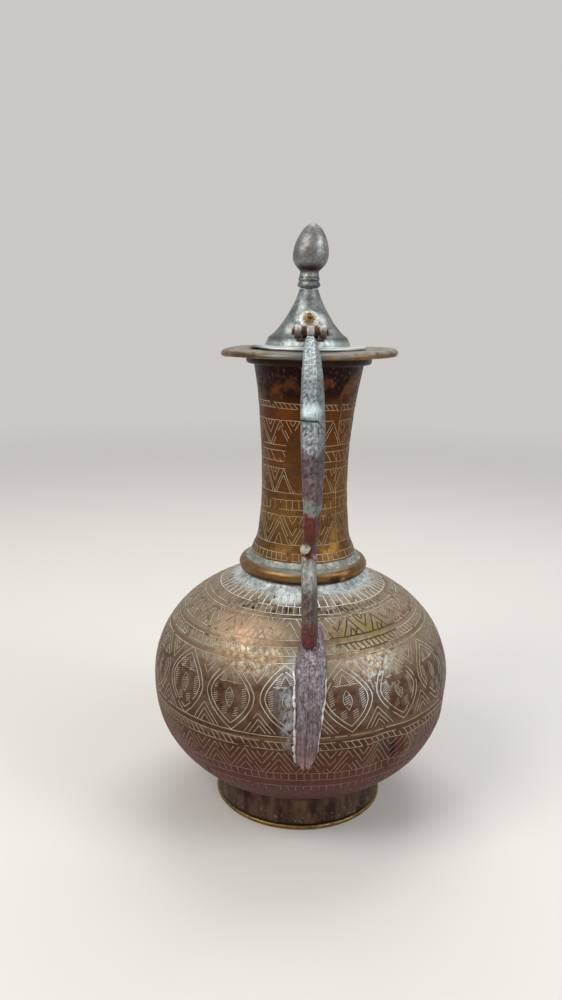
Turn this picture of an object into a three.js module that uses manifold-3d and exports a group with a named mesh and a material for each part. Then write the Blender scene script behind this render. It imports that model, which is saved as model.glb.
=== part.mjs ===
import * as THREE from 'three';
import Module from 'manifold-3d';
import { mergeVertices } from 'three/addons/utils/BufferGeometryUtils.js';

// Copper ewer with a hinged lid, in millimetres. +Z is up, the foot stands on Z = 0 and
// the vessel's axis is the Z axis. The handle is at -Y and the spout at +Y.
// "Reach" is a distance from the vessel's axis, and "height" is a distance above the table.

const wasm = await Module();
wasm.setup();

// Fits
const seam = 0.3;             // solder seams, resting faces and the hinge's running gap
const sheet = 1.2;            // raised and spun sheet

// Body, a squashed ball whose outline is a superellipse
const bodyRadius = 85.5;
const bodyLift = 10;          // lowest point of the belly above the table
const bodyDrop = 66;          // lowest point up to the widest
const bodyRise = 64;          // widest point up to where the shoulder would close
const bodyRoundness = 2.2;    // 2 is an ellipse, more is squarer

// Foot
const footRadius = 48.6;
const footTaper = 0.8;        // how much narrower the ring is where it meets the belly
const footSheet = 1.6;
const footWireRadius = 1.3;   // bead round the bottom edge

// Neck and collar
const neckFootRadius = 30.2;
const neckWaistRadius = 24.1;
const neckMouthRadius = 31.4;
const neckWaistRise = 53;     // waist above the body's mouth
const neckLength = 125;       // body's mouth to the neck's upper edge
const neckSocket = 5;         // the neck's end inside the body
const neckFlare = 2;          // power of both flares
const collarOverhang = 6.4;   // collar's outside beyond the neck's foot
const collarBead = 5;         // radius of the collar's round

// Rim plate
const plateRadius = 48.3;
const plateSheet = 1.6;
const plateEdge = 4.6;        // thickness of the rolled edge
const plateHoleRadius = 27;
const ledgeWidth = 3.1;       // ring under the plate, beyond the neck's mouth
const ledgeHeight = 5.8;

// Lid
const lidOverlap = 5;         // brim beyond the plate's hole
const lidBrim = 1.3;
const lidStepInset = 3.7;     // step's outside within the plate's hole
const lidStepDraft = 1.7;
const lidStepHeight = 4.6;    // brim's top to the foot of the cone
const lidStepRound = 2.2;     // where the cone leaves the step's top
const lidConeTopRadius = 5.2;
const lidConeHeight = 25.5;
const lidConeHollow = 1.35;   // power of the cone's concave sweep
const bezelDepth = 4.6;       // locating ring inside the mouth
const bezelGap = 0.6;

// Finial
const finialCollarRadius = 6.2;
const finialCollarHeight = 5.7;
const finialNeckRadius = 5.2;
const finialBudRadius = 9.9;
const finialBudHeight = 28;
const finialTangRadius = 2;
const finialTangDepth = 6;    // below the cone's tip

// Hinge
const hingeRise = 10.1;       // pin above the plate's top
const pinRadius = 1.2;
const pinHeadRadius = 1.9;
const eyeRadius = 3.8;
const earThickness = 4;
const earSpacing = 12.7;      // centre to centre
const forkBase = 1.6;
const forkDepth = 8;
const forkWidth = 5;          // of its foot
const crossBarDepth = 4.2;
const crossBarHeight = 2;
const headDepth = 5;          // of the handle's head, which is as wide as the fork's foot
const barrelRadius = 3.2;
const strapWidth = 3;
const strapThickness = 1.3;
const rivetRise = 16.2;       // rivet above the plate's top
const rivetRadius = 0.8;
const rivetHeadRadius = 1.4;
const rosetteRadius = 3.4;
const rosetteThickness = 1;
const roveWidth = 1.1;        // washers under the rivet and the finial's tang
const roveThickness = 1;

// Handle
const handleOverhang = 15.5;  // outside of the knee beyond the belly
const handleWidth = 11.5;     // across the grip
const handleDepth = 7.5;
const handleTwist = 16;       // degrees that the grip's face turns towards -X
const handleArch = 8;         // top of the hook above the plate
const kneeDrop = 70;          // knee below the plate's top
const nubDrop = 94;
const nubRadius = 2.8;
const leafTop = 126;          // heights of the leaf's two ends
const leafBottom = 60.5;
const leafWidth = 15.7;
const leafThickness = 2.2;
const leafOffset = 2.2;       // how far its upper end lies to +X
const leafDrift = 3.2;        // how far its lower end lies to -X from there

// Spout
const spoutRootHeight = 92;
const spoutSpread = 18.4;     // tip's outside beyond the root
const spoutSwell = 8.6;       // how far the tube first swings out from its root
const spoutTipHeight = 221;
const spoutRootRadius = 12;
const spoutTipRadius = 5;
const spoutSheet = 1.1;
const spoutFlangeWidth = 5;
const spoutFlangeThickness = 2;
const spoutLipBead = 1.5;

// Facets
const bodySides = 48;
const neckSides = 40;
const smallSides = 16;

const copper = { color: '#8a5f35', roughness: 0.5, metalness: 0.9 };
const neckCopper = { color: '#6e4114', roughness: 0.55, metalness: 0.85 };
const brass = { color: '#96784a', roughness: 0.45, metalness: 0.9 };
const pewter = { color: '#8c8f8c', roughness: 0.55, metalness: 0.8 };
const footCopper = { color: '#6f5a40', roughness: 0.6, metalness: 0.85 };

const group = new THREE.Group();

function add(name, geometry, look) {
  const mesh = new THREE.Mesh(geometry, new THREE.MeshStandardMaterial(look));
  mesh.name = name;
  group.add(mesh);
}

// Solids from meshes and back, for cuts and joins

function solidOf(geometry) {
  const bare = geometry.clone();
  bare.deleteAttribute('normal');
  bare.deleteAttribute('uv');
  const merged = mergeVertices(bare, 1e-4);
  const corners = [...merged.index.array];
  const kept = [];
  for (let i = 0; i < corners.length; i += 3) {
    const [a, b, c] = corners.slice(i, i + 3);
    if (a !== b && b !== c && c !== a) kept.push(a, b, c);
  }
  const mesh = new wasm.Mesh({
    numProp: 3,
    vertProperties: merged.attributes.position.array,
    triVerts: new Uint32Array(kept),
  });
  return new wasm.Manifold(mesh);
}

function geometryOf(solid) {
  const mesh = solid.getMesh();
  const geometry = new THREE.BufferGeometry();
  geometry.setAttribute('position', new THREE.BufferAttribute(mesh.vertProperties, 3));
  geometry.setIndex(new THREE.BufferAttribute(mesh.triVerts, 1));
  geometry.computeVertexNormals();
  return geometry;
}

// A turned piece from its outline of [radius, height] points, up the outside first.
function turned(outline, sides) {
  const closed = outline[0][0] === 0 ? outline : [...outline, outline[0]];
  const points = closed.map(([radius, height]) => new THREE.Vector2(radius, height));
  return new THREE.LatheGeometry(points, sides).rotateX(Math.PI / 2);
}

// A closed skin over rings of equal point counts, capped at both ends.
function lofted(rings) {
  const count = rings[0].length;
  const places = rings.flat().flatMap((point) => point.toArray());
  const faces = [];
  for (let i = 0; i + 1 < rings.length; i += 1) {
    for (let j = 0; j < count; j += 1) {
      const a = i * count + j;
      const b = i * count + ((j + 1) % count);
      faces.push(a, b, b + count, a, b + count, a + count);
    }
  }
  const last = (rings.length - 1) * count;
  for (let j = 1; j + 1 < count; j += 1) {
    faces.push(0, j + 1, j, last, last + j, last + j + 1);
  }
  const geometry = new THREE.BufferGeometry();
  geometry.setAttribute('position', new THREE.Float32BufferAttribute(places, 3));
  geometry.setIndex(faces);
  geometry.computeVertexNormals();
  return geometry;
}

// A ring of points round a place on a curve in the Y-Z plane, with a squared-off oval
// section. Half width lies along X, half depth across the curve, and turn twists the ring.
function sectionRing(place, tangent, halfWidth, halfDepth, turn, sides, squareness) {
  const side = new THREE.Vector3(1, 0, 0);
  const across = new THREE.Vector3().crossVectors(tangent, side).normalize();
  const round = (value) => Math.sign(value) * Math.abs(value) ** (2 / squareness);
  const ring = [];
  for (let j = 0; j < sides; j += 1) {
    const angle = (2 * Math.PI * (j + 0.5)) / sides;
    const x = halfWidth * round(Math.cos(angle));
    const y = halfDepth * round(Math.sin(angle));
    const turnedX = x * Math.cos(turn) - y * Math.sin(turn);
    const turnedY = x * Math.sin(turn) + y * Math.cos(turn);
    ring.push(place.clone().addScaledVector(side, turnedX).addScaledVector(across, turnedY));
  }
  return ring;
}

function mix(from, to, share) {
  return from + (to - from) * share;
}

// Body, raised in two halves, a bowl and a shoulder, that are brazed at the widest point

const widest = bodyLift + bodyDrop;

// Height of the belly's outline at a radius, above its widest point or below it.
function bodyHeightAt(radius, above) {
  const share = (1 - (radius / bodyRadius) ** bodyRoundness) ** (1 / bodyRoundness);
  return above ? widest + bodyRise * share : widest - bodyDrop * share;
}

function bodyRadiusAt(height) {
  const offset = height - widest;
  const span = offset > 0 ? bodyRise : bodyDrop;
  return bodyRadius * (1 - (Math.abs(offset) / span) ** bodyRoundness) ** (1 / bodyRoundness);
}

// The outline's points between two angles from the widest point, negative ones below it,
// grown outwards by an offset. Equal steps of angle space the points.
function bodyOutline(offset, from, to, steps) {
  const power = 2 / bodyRoundness;
  const points = [];
  for (let i = 0; i <= steps; i += 1) {
    const angle = mix(from, to, i / steps);
    const span = (angle < 0 ? -bodyDrop : bodyRise) + Math.sign(angle) * offset;
    const height = widest + span * Math.abs(Math.sin(angle)) ** power;
    points.push([(bodyRadius + offset) * Math.abs(Math.cos(angle)) ** power, height]);
  }
  return points;
}

function mouthAngleAt(offset) {
  return Math.acos((mouthRadius / (bodyRadius + offset)) ** (bodyRoundness / 2));
}

const mouthRadius = neckFootRadius + seam;
const mouthHeight = bodyHeightAt(mouthRadius, true);
const quarterTurn = Math.PI / 2;

const bowlOutside = bodyOutline(0, -quarterTurn, 0, 8);
const bowlInside = bodyOutline(-sheet, -quarterTurn, 0, 6);
const bowlOutline = [...bowlOutside, ...bowlInside.reverse()].map(([radius, height]) => [
  radius < seam ? 0 : radius,
  Math.min(height, widest - seam),
]);
const shoulderOutside = bodyOutline(0, 0, mouthAngleAt(0), 8);
const shoulderInside = bodyOutline(-sheet, 0, mouthAngleAt(-sheet), 6);
const shoulder = solidOf(turned([...shoulderOutside, ...shoulderInside.reverse()], bodySides));

// What a piece that sits on the belly is cut back by: the belly grown by the seam.
function bodyEnvelope(offset) {
  const outline = [
    ...bodyOutline(offset, -quarterTurn, 0, 14),
    ...bodyOutline(offset, 0, mouthAngleAt(offset), 14).slice(1),
  ];
  outline[0][0] = 0;
  return solidOf(turned([...outline, [0, mouthHeight]], 2 * bodySides));
}

// Spout, a tapered tube that leaves the belly and rises beside the neck

const spoutRootReach = bodyRadiusAt(spoutRootHeight);
const spoutRise = spoutTipHeight - spoutRootHeight;
const spoutReach = spoutRootReach + spoutSpread;
const spoutLine = new THREE.CatmullRomCurve3([
  new THREE.Vector3(0, spoutRootReach - 14, spoutRootHeight - 9),
  new THREE.Vector3(0, spoutRootReach, spoutRootHeight),
  new THREE.Vector3(0, spoutRootReach + 0.87 * spoutSwell, spoutRootHeight + 0.14 * spoutRise),
  new THREE.Vector3(0, spoutRootReach + spoutSwell, spoutRootHeight + 0.3 * spoutRise),
  new THREE.Vector3(0, spoutRootReach + 0.52 * spoutSwell, spoutRootHeight + 0.5 * spoutRise),
  new THREE.Vector3(0, spoutRootReach + 0.23 * spoutSwell, spoutRootHeight + 0.68 * spoutRise),
  new THREE.Vector3(0, spoutReach - 14, spoutRootHeight + 0.84 * spoutRise),
  new THREE.Vector3(0, spoutReach - 5.5, spoutTipHeight),
]);
const spoutSteps = 20;

function spoutRadiusAt(share) {
  const slimming = 1 - (1 - share) ** 1.7;
  return mix(spoutRootRadius, spoutTipRadius, slimming);
}

function spoutSolid(offset, from, to) {
  const rings = [];
  for (let i = 0; i <= spoutSteps; i += 1) {
    const share = mix(from, to, i / spoutSteps);
    const inside = Math.min(Math.max(share, 0), 1);
    const tangent = spoutLine.getTangentAt(inside);
    const beyond = (share - inside) * spoutLine.getLength();
    const place = spoutLine.getPointAt(inside).addScaledVector(tangent, beyond);
    const radius = spoutRadiusAt(inside) + offset;
    rings.push(sectionRing(place, tangent, radius, radius, 0, smallSides, 2));
  }
  return solidOf(lofted(rings));
}

const spoutBore = spoutSolid(-spoutSheet, -0.02, 1.02);
const seatOnBelly = bodyEnvelope(seam);
const spoutTube = spoutSolid(0, 0, 1).subtract(spoutBore).subtract(seatOnBelly);

const flangeReach = spoutRootRadius + spoutFlangeWidth;
const nearRoot = 0.08;
const spoutRootDirection = spoutLine.getTangentAt(nearRoot);
const flangeBlank = solidOf(lofted([-spoutRootRadius, spoutRootRadius].map((along) => {
  const place = new THREE.Vector3(0, spoutRootReach, spoutRootHeight);
  place.addScaledVector(spoutRootDirection, along);
  return sectionRing(place, spoutRootDirection, flangeReach, flangeReach, 0, 32, 2);
})));
const spoutFlange = flangeBlank
  .intersect(bodyEnvelope(seam + spoutFlangeThickness))
  .subtract(seatOnBelly)
  .subtract(spoutSolid(seam, -0.02, 0.6));

const lipInside = spoutTipRadius + seam;
const lipOutline = [];
for (let i = 0; i <= 6; i += 1) {
  const angle = -Math.PI / 2 + (Math.PI * i) / 6;
  const out = lipInside + spoutLipBead * (0.6 + Math.cos(angle));
  lipOutline.push([out, spoutLipBead * Math.sin(angle)]);
}
lipOutline.push([lipInside, spoutLipBead], [lipInside, -spoutLipBead]);
const lipTurn = new THREE.Quaternion().setFromUnitVectors(
  new THREE.Vector3(0, 0, 1),
  spoutLine.getTangentAt(1),
);
const lipPlace = spoutLine.getPointAt(1).addScaledVector(spoutLine.getTangentAt(1), -spoutLipBead);
const spoutLip = turned(lipOutline, smallSides)
  .applyQuaternion(lipTurn)
  .translate(...lipPlace.toArray());

add('body_bowl', turned(bowlOutline, bodySides), copper);
add('body_shoulder', geometryOf(shoulder.subtract(spoutBore)), copper);
add('spout_tube', geometryOf(spoutTube), brass);
add('spout_flange', geometryOf(spoutFlange), brass);
add('spout_lip', spoutLip, brass);

// Foot, a low ring soldered under the belly, with a bead round its bottom edge

const footTopRadius = footRadius - footTaper;
const footTop = bodyHeightAt(footTopRadius - footSheet, false) - seam;
const wireTop = 2 * footWireRadius;
const footRing = turned([
  [footRadius, wireTop + seam],
  [footTopRadius, footTop],
  [footTopRadius - footSheet, footTop],
  [footRadius - footSheet, wireTop + seam],
], bodySides);
const wireOutline = [];
for (let i = 0; i <= 5; i += 1) {
  const angle = -Math.PI / 2 + (Math.PI * i) / 5;
  const out = footRadius - 0.5 * footWireRadius + footWireRadius * Math.cos(angle);
  wireOutline.push([out, footWireRadius * (1 + Math.sin(angle))]);
}
wireOutline.push([footRadius - footSheet, wireTop], [footRadius - footSheet, 0]);
add('foot_ring', footRing, footCopper);
add('foot_wire', turned(wireOutline, bodySides), brass);

// Neck, flared at both ends from its waist, and the half-round collar at its foot

const neckTop = mouthHeight + neckLength;
const neckWaist = mouthHeight + neckWaistRise;

function neckRadiusAt(height) {
  const down = (neckWaist - height) / neckWaistRise;
  const up = (height - neckWaist) / (neckLength - neckWaistRise);
  const flare = height < neckWaist
    ? (neckFootRadius - neckWaistRadius) * Math.min(down, 1) ** neckFlare
    : (neckMouthRadius - neckWaistRadius) * up ** neckFlare;
  return neckWaistRadius + flare;
}

const neckOutside = [];
const neckSteps = 12;
for (let i = 0; i <= neckSteps; i += 1) {
  const height = mix(mouthHeight, neckTop, i / neckSteps);
  neckOutside.push([neckRadiusAt(height), height]);
}
const neckInside = neckOutside.filter((point, i) => i % 2 === 0).reverse();
add('neck_tube', turned([
  [neckFootRadius, mouthHeight - neckSocket],
  ...neckOutside,
  ...neckInside.map(([radius, height]) => [radius - sheet, height]),
  [neckFootRadius - sheet, mouthHeight - neckSocket],
], neckSides), neckCopper);

const collarCentre = neckFootRadius + collarOverhang - collarBead;
const collarHeight = bodyHeightAt(collarCentre, true) + seam + collarBead;
const collarHalfChord = Math.acos((mouthRadius + seam - collarCentre) / collarBead);
const collarOutline = [];
for (let i = 0; i <= 8; i += 1) {
  const angle = mix(-collarHalfChord, collarHalfChord, i / 8);
  const out = collarCentre + collarBead * Math.cos(angle);
  collarOutline.push([out, collarHeight + collarBead * Math.sin(angle)]);
}
add('neck_collar', turned(collarOutline, neckSides), copper);

// Rim plate on the neck's end, with its rolled edge, and the ledge ring under it

const ledgeInside = neckMouthRadius + seam;
const ledgeRadius = neckMouthRadius + ledgeWidth;
const plateUnder = neckTop + seam;
const plateTop = plateUnder + plateSheet;
const edgeUnder = plateTop - plateEdge;
const edgeRound = plateEdge / 2;
const plateOutline = [[plateRadius - 2.2 * edgeRound, edgeUnder]];
for (let i = 0; i <= 6; i += 1) {
  const angle = -Math.PI / 2 + (Math.PI * i) / 6;
  const out = plateRadius - edgeRound + edgeRound * Math.cos(angle);
  plateOutline.push([out, edgeUnder + edgeRound * (1 + Math.sin(angle))]);
}
plateOutline.push(
  [plateHoleRadius, plateTop],
  [plateHoleRadius, plateUnder],
  [plateRadius - 2.2 * edgeRound - 1, plateUnder],
);
add('rim_plate', turned(plateOutline, neckSides), brass);

const ledgeRound = 1;
add('mouth_ledge', turned([
  [ledgeRadius - ledgeRound, neckTop - ledgeHeight],
  [ledgeRadius, neckTop - ledgeHeight + ledgeRound],
  [ledgeRadius, neckTop],
  [ledgeInside, neckTop],
  [ledgeInside, neckTop - ledgeHeight],
], neckSides), brass);

// Lid, a spun brim, step and hollow cone, with a locating ring that drops into the mouth

const lidRadius = plateHoleRadius + lidOverlap;
const lidStepRadius = plateHoleRadius - lidStepInset;
const lidStepTopRadius = lidStepRadius - lidStepDraft;
const lidConeRadius = lidStepTopRadius - lidStepRound;
const lidUnder = plateTop + seam;
const brimTop = lidUnder + lidBrim;
const coneFoot = brimTop + lidStepHeight;
const coneTop = coneFoot + lidConeHeight;

function coneRadiusAt(height) {
  const share = Math.max((coneTop - height) / lidConeHeight, 0);
  return mix(lidConeTopRadius, lidConeRadius, share ** lidConeHollow);
}

const coneSteps = 6;
const coneOutside = [];
for (let i = 0; i <= coneSteps; i += 1) {
  const height = mix(coneFoot + 0.6, coneTop, i / coneSteps);
  coneOutside.push([coneRadiusAt(height), height]);
}
const coneInside = [...coneOutside].reverse().map(([radius, height]) => [
  radius - sheet,
  Math.min(height, coneTop - sheet),
]);
const lidOutline = [
  [lidRadius, lidUnder],
  [lidRadius, brimTop],
  [lidStepRadius, brimTop],
  [lidStepRadius, brimTop + 0.55 * lidStepHeight],
  [lidStepTopRadius, coneFoot],
  ...coneOutside,
  [finialTangRadius + seam, coneTop],
  [finialTangRadius + seam, coneTop - sheet],
  ...coneInside,
  [lidStepTopRadius - sheet, coneFoot - sheet],
  [lidStepRadius - sheet, lidUnder],
];

// Rivet through the cone, and the tongue of the hinge strap that it holds

const rivetHeight = plateTop + rivetRise;
const rivetReach = coneRadiusAt(rivetHeight);
const slopeStep = 0.5;
const coneLean = (coneRadiusAt(rivetHeight + slopeStep) - coneRadiusAt(rivetHeight - slopeStep))
  / (2 * slopeStep);
const coneUp = new THREE.Vector3(0, -coneLean, 1).normalize();
const coneOut = new THREE.Vector3(0, -1, -coneLean).normalize();
const rivetFoot = new THREE.Vector3(0, -rivetReach, rivetHeight);

// A turned piece whose axis stands out of the cone at the rivet.
function onCone(outline, sides) {
  const turn = new THREE.Quaternion().setFromUnitVectors(new THREE.Vector3(0, 0, 1), coneOut);
  return turned(outline, sides).applyQuaternion(turn).translate(...rivetFoot.toArray());
}

const rivetHoleDepth = 4;
const rivetHole = onCone([
  [0, -rivetHoleDepth],
  [rivetRadius + seam, -rivetHoleDepth],
  [rivetRadius + seam, 2 * rivetHoleDepth],
  [0, 2 * rivetHoleDepth],
], 12);
const rosetteUnder = 0.4;     // clears the cone's round
const rosetteTop = rosetteUnder + rosetteThickness;
const strapUnder = rosetteTop + seam;
const strapTop = strapUnder + strapThickness;
const headUnder = strapTop + seam;

const lidCover = solidOf(turned(lidOutline, neckSides)).subtract(solidOf(rivetHole));
add('lid_cover', geometryOf(lidCover), pewter);

// The ring narrows downwards, so that its far side clears the mouth as the lid swings up.
const bezelRadius = plateHoleRadius - bezelGap;
const bezelTaper = ((hingeRise + bezelDepth) * bezelDepth) / (lidRadius + bezelRadius);
add('lid_bezel', turned([
  [bezelRadius - bezelTaper, lidUnder - bezelDepth],
  [bezelRadius, lidUnder - seam],
  [bezelRadius - sheet, lidUnder - seam],
  [bezelRadius - bezelTaper - sheet, lidUnder - bezelDepth],
], neckSides), pewter);

const rosetteOutline = [
  [rosetteRadius, rosetteUnder],
  [rosetteRadius, rosetteTop - 0.4],
  [rosetteRadius - 0.8, rosetteTop],
  [rivetRadius + seam, rosetteTop],
  [rivetRadius + seam, rosetteUnder],
];
add('strap_rosette', onCone(rosetteOutline, smallSides), brass);

const roveTop = -sheet - 0.5;
const rivetEnd = roveTop - roveThickness - seam;
const rivetOutline = [
  [0, rivetEnd],
  [rivetRadius, rivetEnd],
  [rivetRadius, headUnder],
  [rivetHeadRadius, headUnder],
  [0.7 * rivetHeadRadius, headUnder + 0.7],
  [0, headUnder + 1],
];
add('strap_rivet', onCone(rivetOutline, 12), brass);
add('rivet_rove', onCone([
  [rivetRadius + roveWidth, roveTop - roveThickness],
  [rivetRadius + roveWidth, roveTop],
  [rivetRadius + seam, roveTop],
  [rivetRadius + seam, roveTop - roveThickness],
], 12), brass);

// Finial, a bud whose tang runs down through a loose collar and the cone's tip

const collarFoot = coneTop + seam;
const collarTop = collarFoot + finialCollarHeight;
const grooveHeight = 0.7;
add('finial_collar', turned([
  [finialCollarRadius - 1, collarFoot],
  [finialCollarRadius - 1, collarFoot + grooveHeight],
  [finialCollarRadius, collarFoot + grooveHeight + 0.5],
  [finialCollarRadius, collarFoot + 0.5 * finialCollarHeight],
  [finialCollarRadius - 0.4, collarFoot + 0.62 * finialCollarHeight],
  [finialCollarRadius - 0.3, collarTop],
  [finialTangRadius + seam, collarTop],
  [finialTangRadius + seam, collarFoot],
], 24), pewter);

const budFoot = collarTop + seam;
const budShape = [
  [1, 0],
  [0.95, 0.09],
  [1.2, 0.15],
  [1.62, 0.24],
  [1.84, 0.33],
  [1.9, 0.43],
  [1.81, 0.55],
  [1.58, 0.69],
  [1.18, 0.83],
  [0.72, 0.93],
  [0.3, 0.985],
];
const budGirth = finialBudRadius / 1.9;
const budSlim = budFoot + finialBudHeight;
const budOutline = budShape.map(([radius, share]) => [
  radius > 1 ? radius * budGirth : radius * Math.min(finialNeckRadius, budGirth),
  mix(budFoot, budSlim, share),
]);
add('finial_bud', turned([
  [0, coneTop - finialTangDepth],
  [finialTangRadius, coneTop - finialTangDepth],
  [finialTangRadius, budFoot],
  ...budOutline,
  [0, budSlim],
], 24), pewter);

const finialRoveTop = coneTop - sheet - seam;
add('finial_rove', turned([
  [finialTangRadius + roveWidth, finialRoveTop - roveThickness],
  [finialTangRadius + roveWidth, finialRoveTop],
  [finialTangRadius + seam, finialRoveTop],
  [finialTangRadius + seam, finialRoveTop - roveThickness],
], smallSides), brass);

// Hinge: a fork whose foot stands on the rim plate under the handle's head, with a web up to
// a cross-bar and an ear at each end of it, a pin, and the strap's barrel between the ears

const hingeReach = lidRadius;
const hingeHeight = plateTop + hingeRise;
const forkUnder = plateTop + seam;
const forkTop = forkUnder + forkBase;
const forkInside = lidRadius + 1.2;
const forkOutside = forkInside + forkDepth;
const earInside = (earSpacing - earThickness) / 2;
const earOutside = (earSpacing + earThickness) / 2;
const holeRadius = pinRadius + seam;

// A plate cut to an outline of [reach, height] points, between two X positions.
function plateOfReach(outline, from, to) {
  const shape = new THREE.Shape(outline.map(([reach, height]) => new THREE.Vector2(reach, height)));
  const blank = new THREE.ExtrudeGeometry(shape, { depth: to - from, bevelEnabled: false });
  const axes = new THREE.Matrix4().makeBasis(
    new THREE.Vector3(0, -1, 0),
    new THREE.Vector3(0, 0, 1),
    new THREE.Vector3(-1, 0, 0),
  );
  return solidOf(blank.applyMatrix4(axes).translate(to, 0, 0));
}

function rodAlongX(radius, from, to, sides) {
  const rod = new THREE.CylinderGeometry(radius, radius, to - from, sides);
  return rod.rotateZ(Math.PI / 2).translate((from + to) / 2, -hingeReach, hingeHeight);
}

const headReach = forkInside + forkDepth / 2;
const headSeat = forkTop + seam;
const webOutside = headReach - headDepth / 2 - seam;
const barTop = hingeHeight - barrelRadius - seam;
const barInside = webOutside - crossBarDepth;
const footOutline = [
  [forkInside, forkUnder],
  [forkInside, forkTop],
  [forkOutside, forkTop],
  [forkOutside, forkUnder],
];
const webOutline = [
  [forkInside, forkUnder],
  [forkInside, barTop],
  [webOutside, barTop],
  [webOutside, forkUnder],
];
const barOutline = [
  [barInside, barTop - crossBarHeight],
  [barInside, barTop],
  [webOutside, barTop],
  [webOutside, barTop - crossBarHeight],
];
const pinHole = solidOf(rodAlongX(holeRadius, -2 * earOutside, 2 * earOutside, smallSides));
const hingeFork = plateOfReach(footOutline, -forkWidth / 2, forkWidth / 2)
  .add(plateOfReach(webOutline, -forkWidth / 2, forkWidth / 2))
  .add(plateOfReach(barOutline, -earOutside, earOutside))
  .add(solidOf(rodAlongX(eyeRadius, earInside, earOutside, 24)))
  .add(solidOf(rodAlongX(eyeRadius, -earOutside, -earInside, 24)))
  .subtract(pinHole);
add('hinge_fork', geometryOf(hingeFork), pewter);

const pinLength = 2 * (earOutside + seam);
const pinHead = 1;
const pinOutline = [
  [0, -pinLength / 2 - pinHead],
  [0.6 * pinHeadRadius, -pinLength / 2 - pinHead],
  [pinHeadRadius, -pinLength / 2 - 0.5 * pinHead],
  [pinHeadRadius, -pinLength / 2],
  [pinRadius, -pinLength / 2],
  [pinRadius, pinLength / 2],
  [pinHeadRadius, pinLength / 2],
  [pinHeadRadius, pinLength / 2 + 0.5 * pinHead],
  [0.6 * pinHeadRadius, pinLength / 2 + pinHead],
  [0, pinLength / 2 + pinHead],
];
const hingePin = turned(pinOutline, 16).rotateY(Math.PI / 2);
add('hinge_pin', hingePin.translate(0, -hingeReach, hingeHeight), brass);

const strapMiddle = (strapUnder + strapTop) / 2;
const strapEnd = rivetFoot.clone().addScaledVector(coneOut, strapMiddle);
const strapLine = new THREE.CatmullRomCurve3([
  strapEnd.clone().addScaledVector(coneUp, 2),
  strapEnd.clone(),
  strapEnd.clone().addScaledVector(coneUp, -2.6),
  new THREE.Vector3(0, mix(strapEnd.y, -hingeReach, 0.4), hingeHeight + 2.4),
  new THREE.Vector3(0, -hingeReach + 1, hingeHeight + barrelRadius - strapThickness),
]);
const strapRings = [];
for (let i = 0; i <= 12; i += 1) {
  const place = strapLine.getPointAt(i / 12);
  const tangent = strapLine.getTangentAt(i / 12);
  const halfWidth = strapWidth / 2;
  strapRings.push(sectionRing(place, tangent, halfWidth, strapThickness / 2, 0, 8, 5));
}
const hingeStrap = solidOf(lofted(strapRings))
  .add(solidOf(rodAlongX(barrelRadius, -earInside + seam, earInside - seam, smallSides)))
  .subtract(pinHole)
  .subtract(solidOf(rivetHole));
add('hinge_strap', geometryOf(hingeStrap), brass);

// Handle, one casting: a hook over the plate's edge, the grip down to the knee, the return
// to a small nub, and a lower scroll that ends on the leaf

const handleReach = bodyRadius + handleOverhang;
const nubHeight = plateTop - nubDrop;
const hookClear = plateRadius + seam + handleDepth / 2 + 0.8;
const kneeHeight = plateTop - kneeDrop;

// The point of the belly's outline at a height, moved out square to it.
function offBelly(height, lift) {
  const step = 0.5;
  const lean = (bodyRadiusAt(height - step) - bodyRadiusAt(height + step)) / (2 * step);
  const normal = new THREE.Vector2(1, lean).normalize();
  return new THREE.Vector2(bodyRadiusAt(height), height).addScaledVector(normal, lift);
}

// Each row is reach, height, width and depth. The upper heights hang from the plate, and
// the lower ones stand on the leaf.
const tipDepth = 6;
const tip = offBelly(leafTop - 7.5, seam + leafThickness + seam + tipDepth / 2);
const scroll = nubHeight - tip.y;
const handleRows = [
  [headReach, headSeat, forkWidth, headDepth],
  [headReach + 1, plateTop + handleArch - 2.5, forkWidth, headDepth],
  [mix(headReach, hookClear, 0.55), plateTop + handleArch - 3.4, 6.5, 5.4],
  [hookClear + 1, plateTop - 0.5, 8.6, 6.6],
  [mix(hookClear, handleReach, 0.3), plateTop - 12, 10.6, handleDepth],
  [mix(hookClear, handleReach, 0.56), plateTop - 27, handleWidth, handleDepth],
  [mix(hookClear, handleReach, 0.77), plateTop - 43, 11, handleDepth],
  [mix(hookClear, handleReach, 0.9), plateTop - 58, 9.4, 7.2],
  [handleReach - 3.6, kneeHeight + 1, 8.2, 6.8],
  [handleReach - 6, kneeHeight - 7, 7.8, 6.2],
  [mix(tip.x, handleReach, 0.55), kneeHeight - 13, 7.6, 5.6],
  [tip.x + 3, nubHeight + 5.5, 7.4, 5.2],
  [tip.x - 1.5, nubHeight - 0.5, 7, 5],
  [tip.x + 1.8, nubHeight - 0.16 * scroll, 7.2, 5.6],
  [tip.x + 6, nubHeight - 0.38 * scroll, 7.6, 6.4],
  [tip.x + 5.6, nubHeight - 0.66 * scroll, 7.6, 6.6],
  [tip.x + 1.6, nubHeight - 0.92 * scroll, 7.2, tipDepth],
  [tip.x - 0.4, tip.y - 2.4, 4.6, 3.6],
];
const handleLine = new THREE.CatmullRomCurve3(
  handleRows.map(([reach, height]) => new THREE.Vector3(0, -reach, height)),
);
const handleSizes = new THREE.CatmullRomCurve3(
  handleRows.map(([, , width, depth]) => new THREE.Vector3(width, depth, 0)),
);
const handleSteps = 48;
const handleRings = [];
for (let i = 0; i <= handleSteps; i += 1) {
  const share = i / handleSteps;
  const size = handleSizes.getPoint(share);
  const turn = THREE.MathUtils.degToRad(handleTwist) * Math.sin(Math.PI * share);
  const place = handleLine.getPoint(share);
  const tangent = i === 0 ? new THREE.Vector3(0, 0, 1) : handleLine.getTangent(share);
  handleRings.push(sectionRing(place, tangent, size.x / 2, size.y / 2, turn, 10, 3.2));
}
const nub = new THREE.SphereGeometry(nubRadius, 12, 8);
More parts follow.
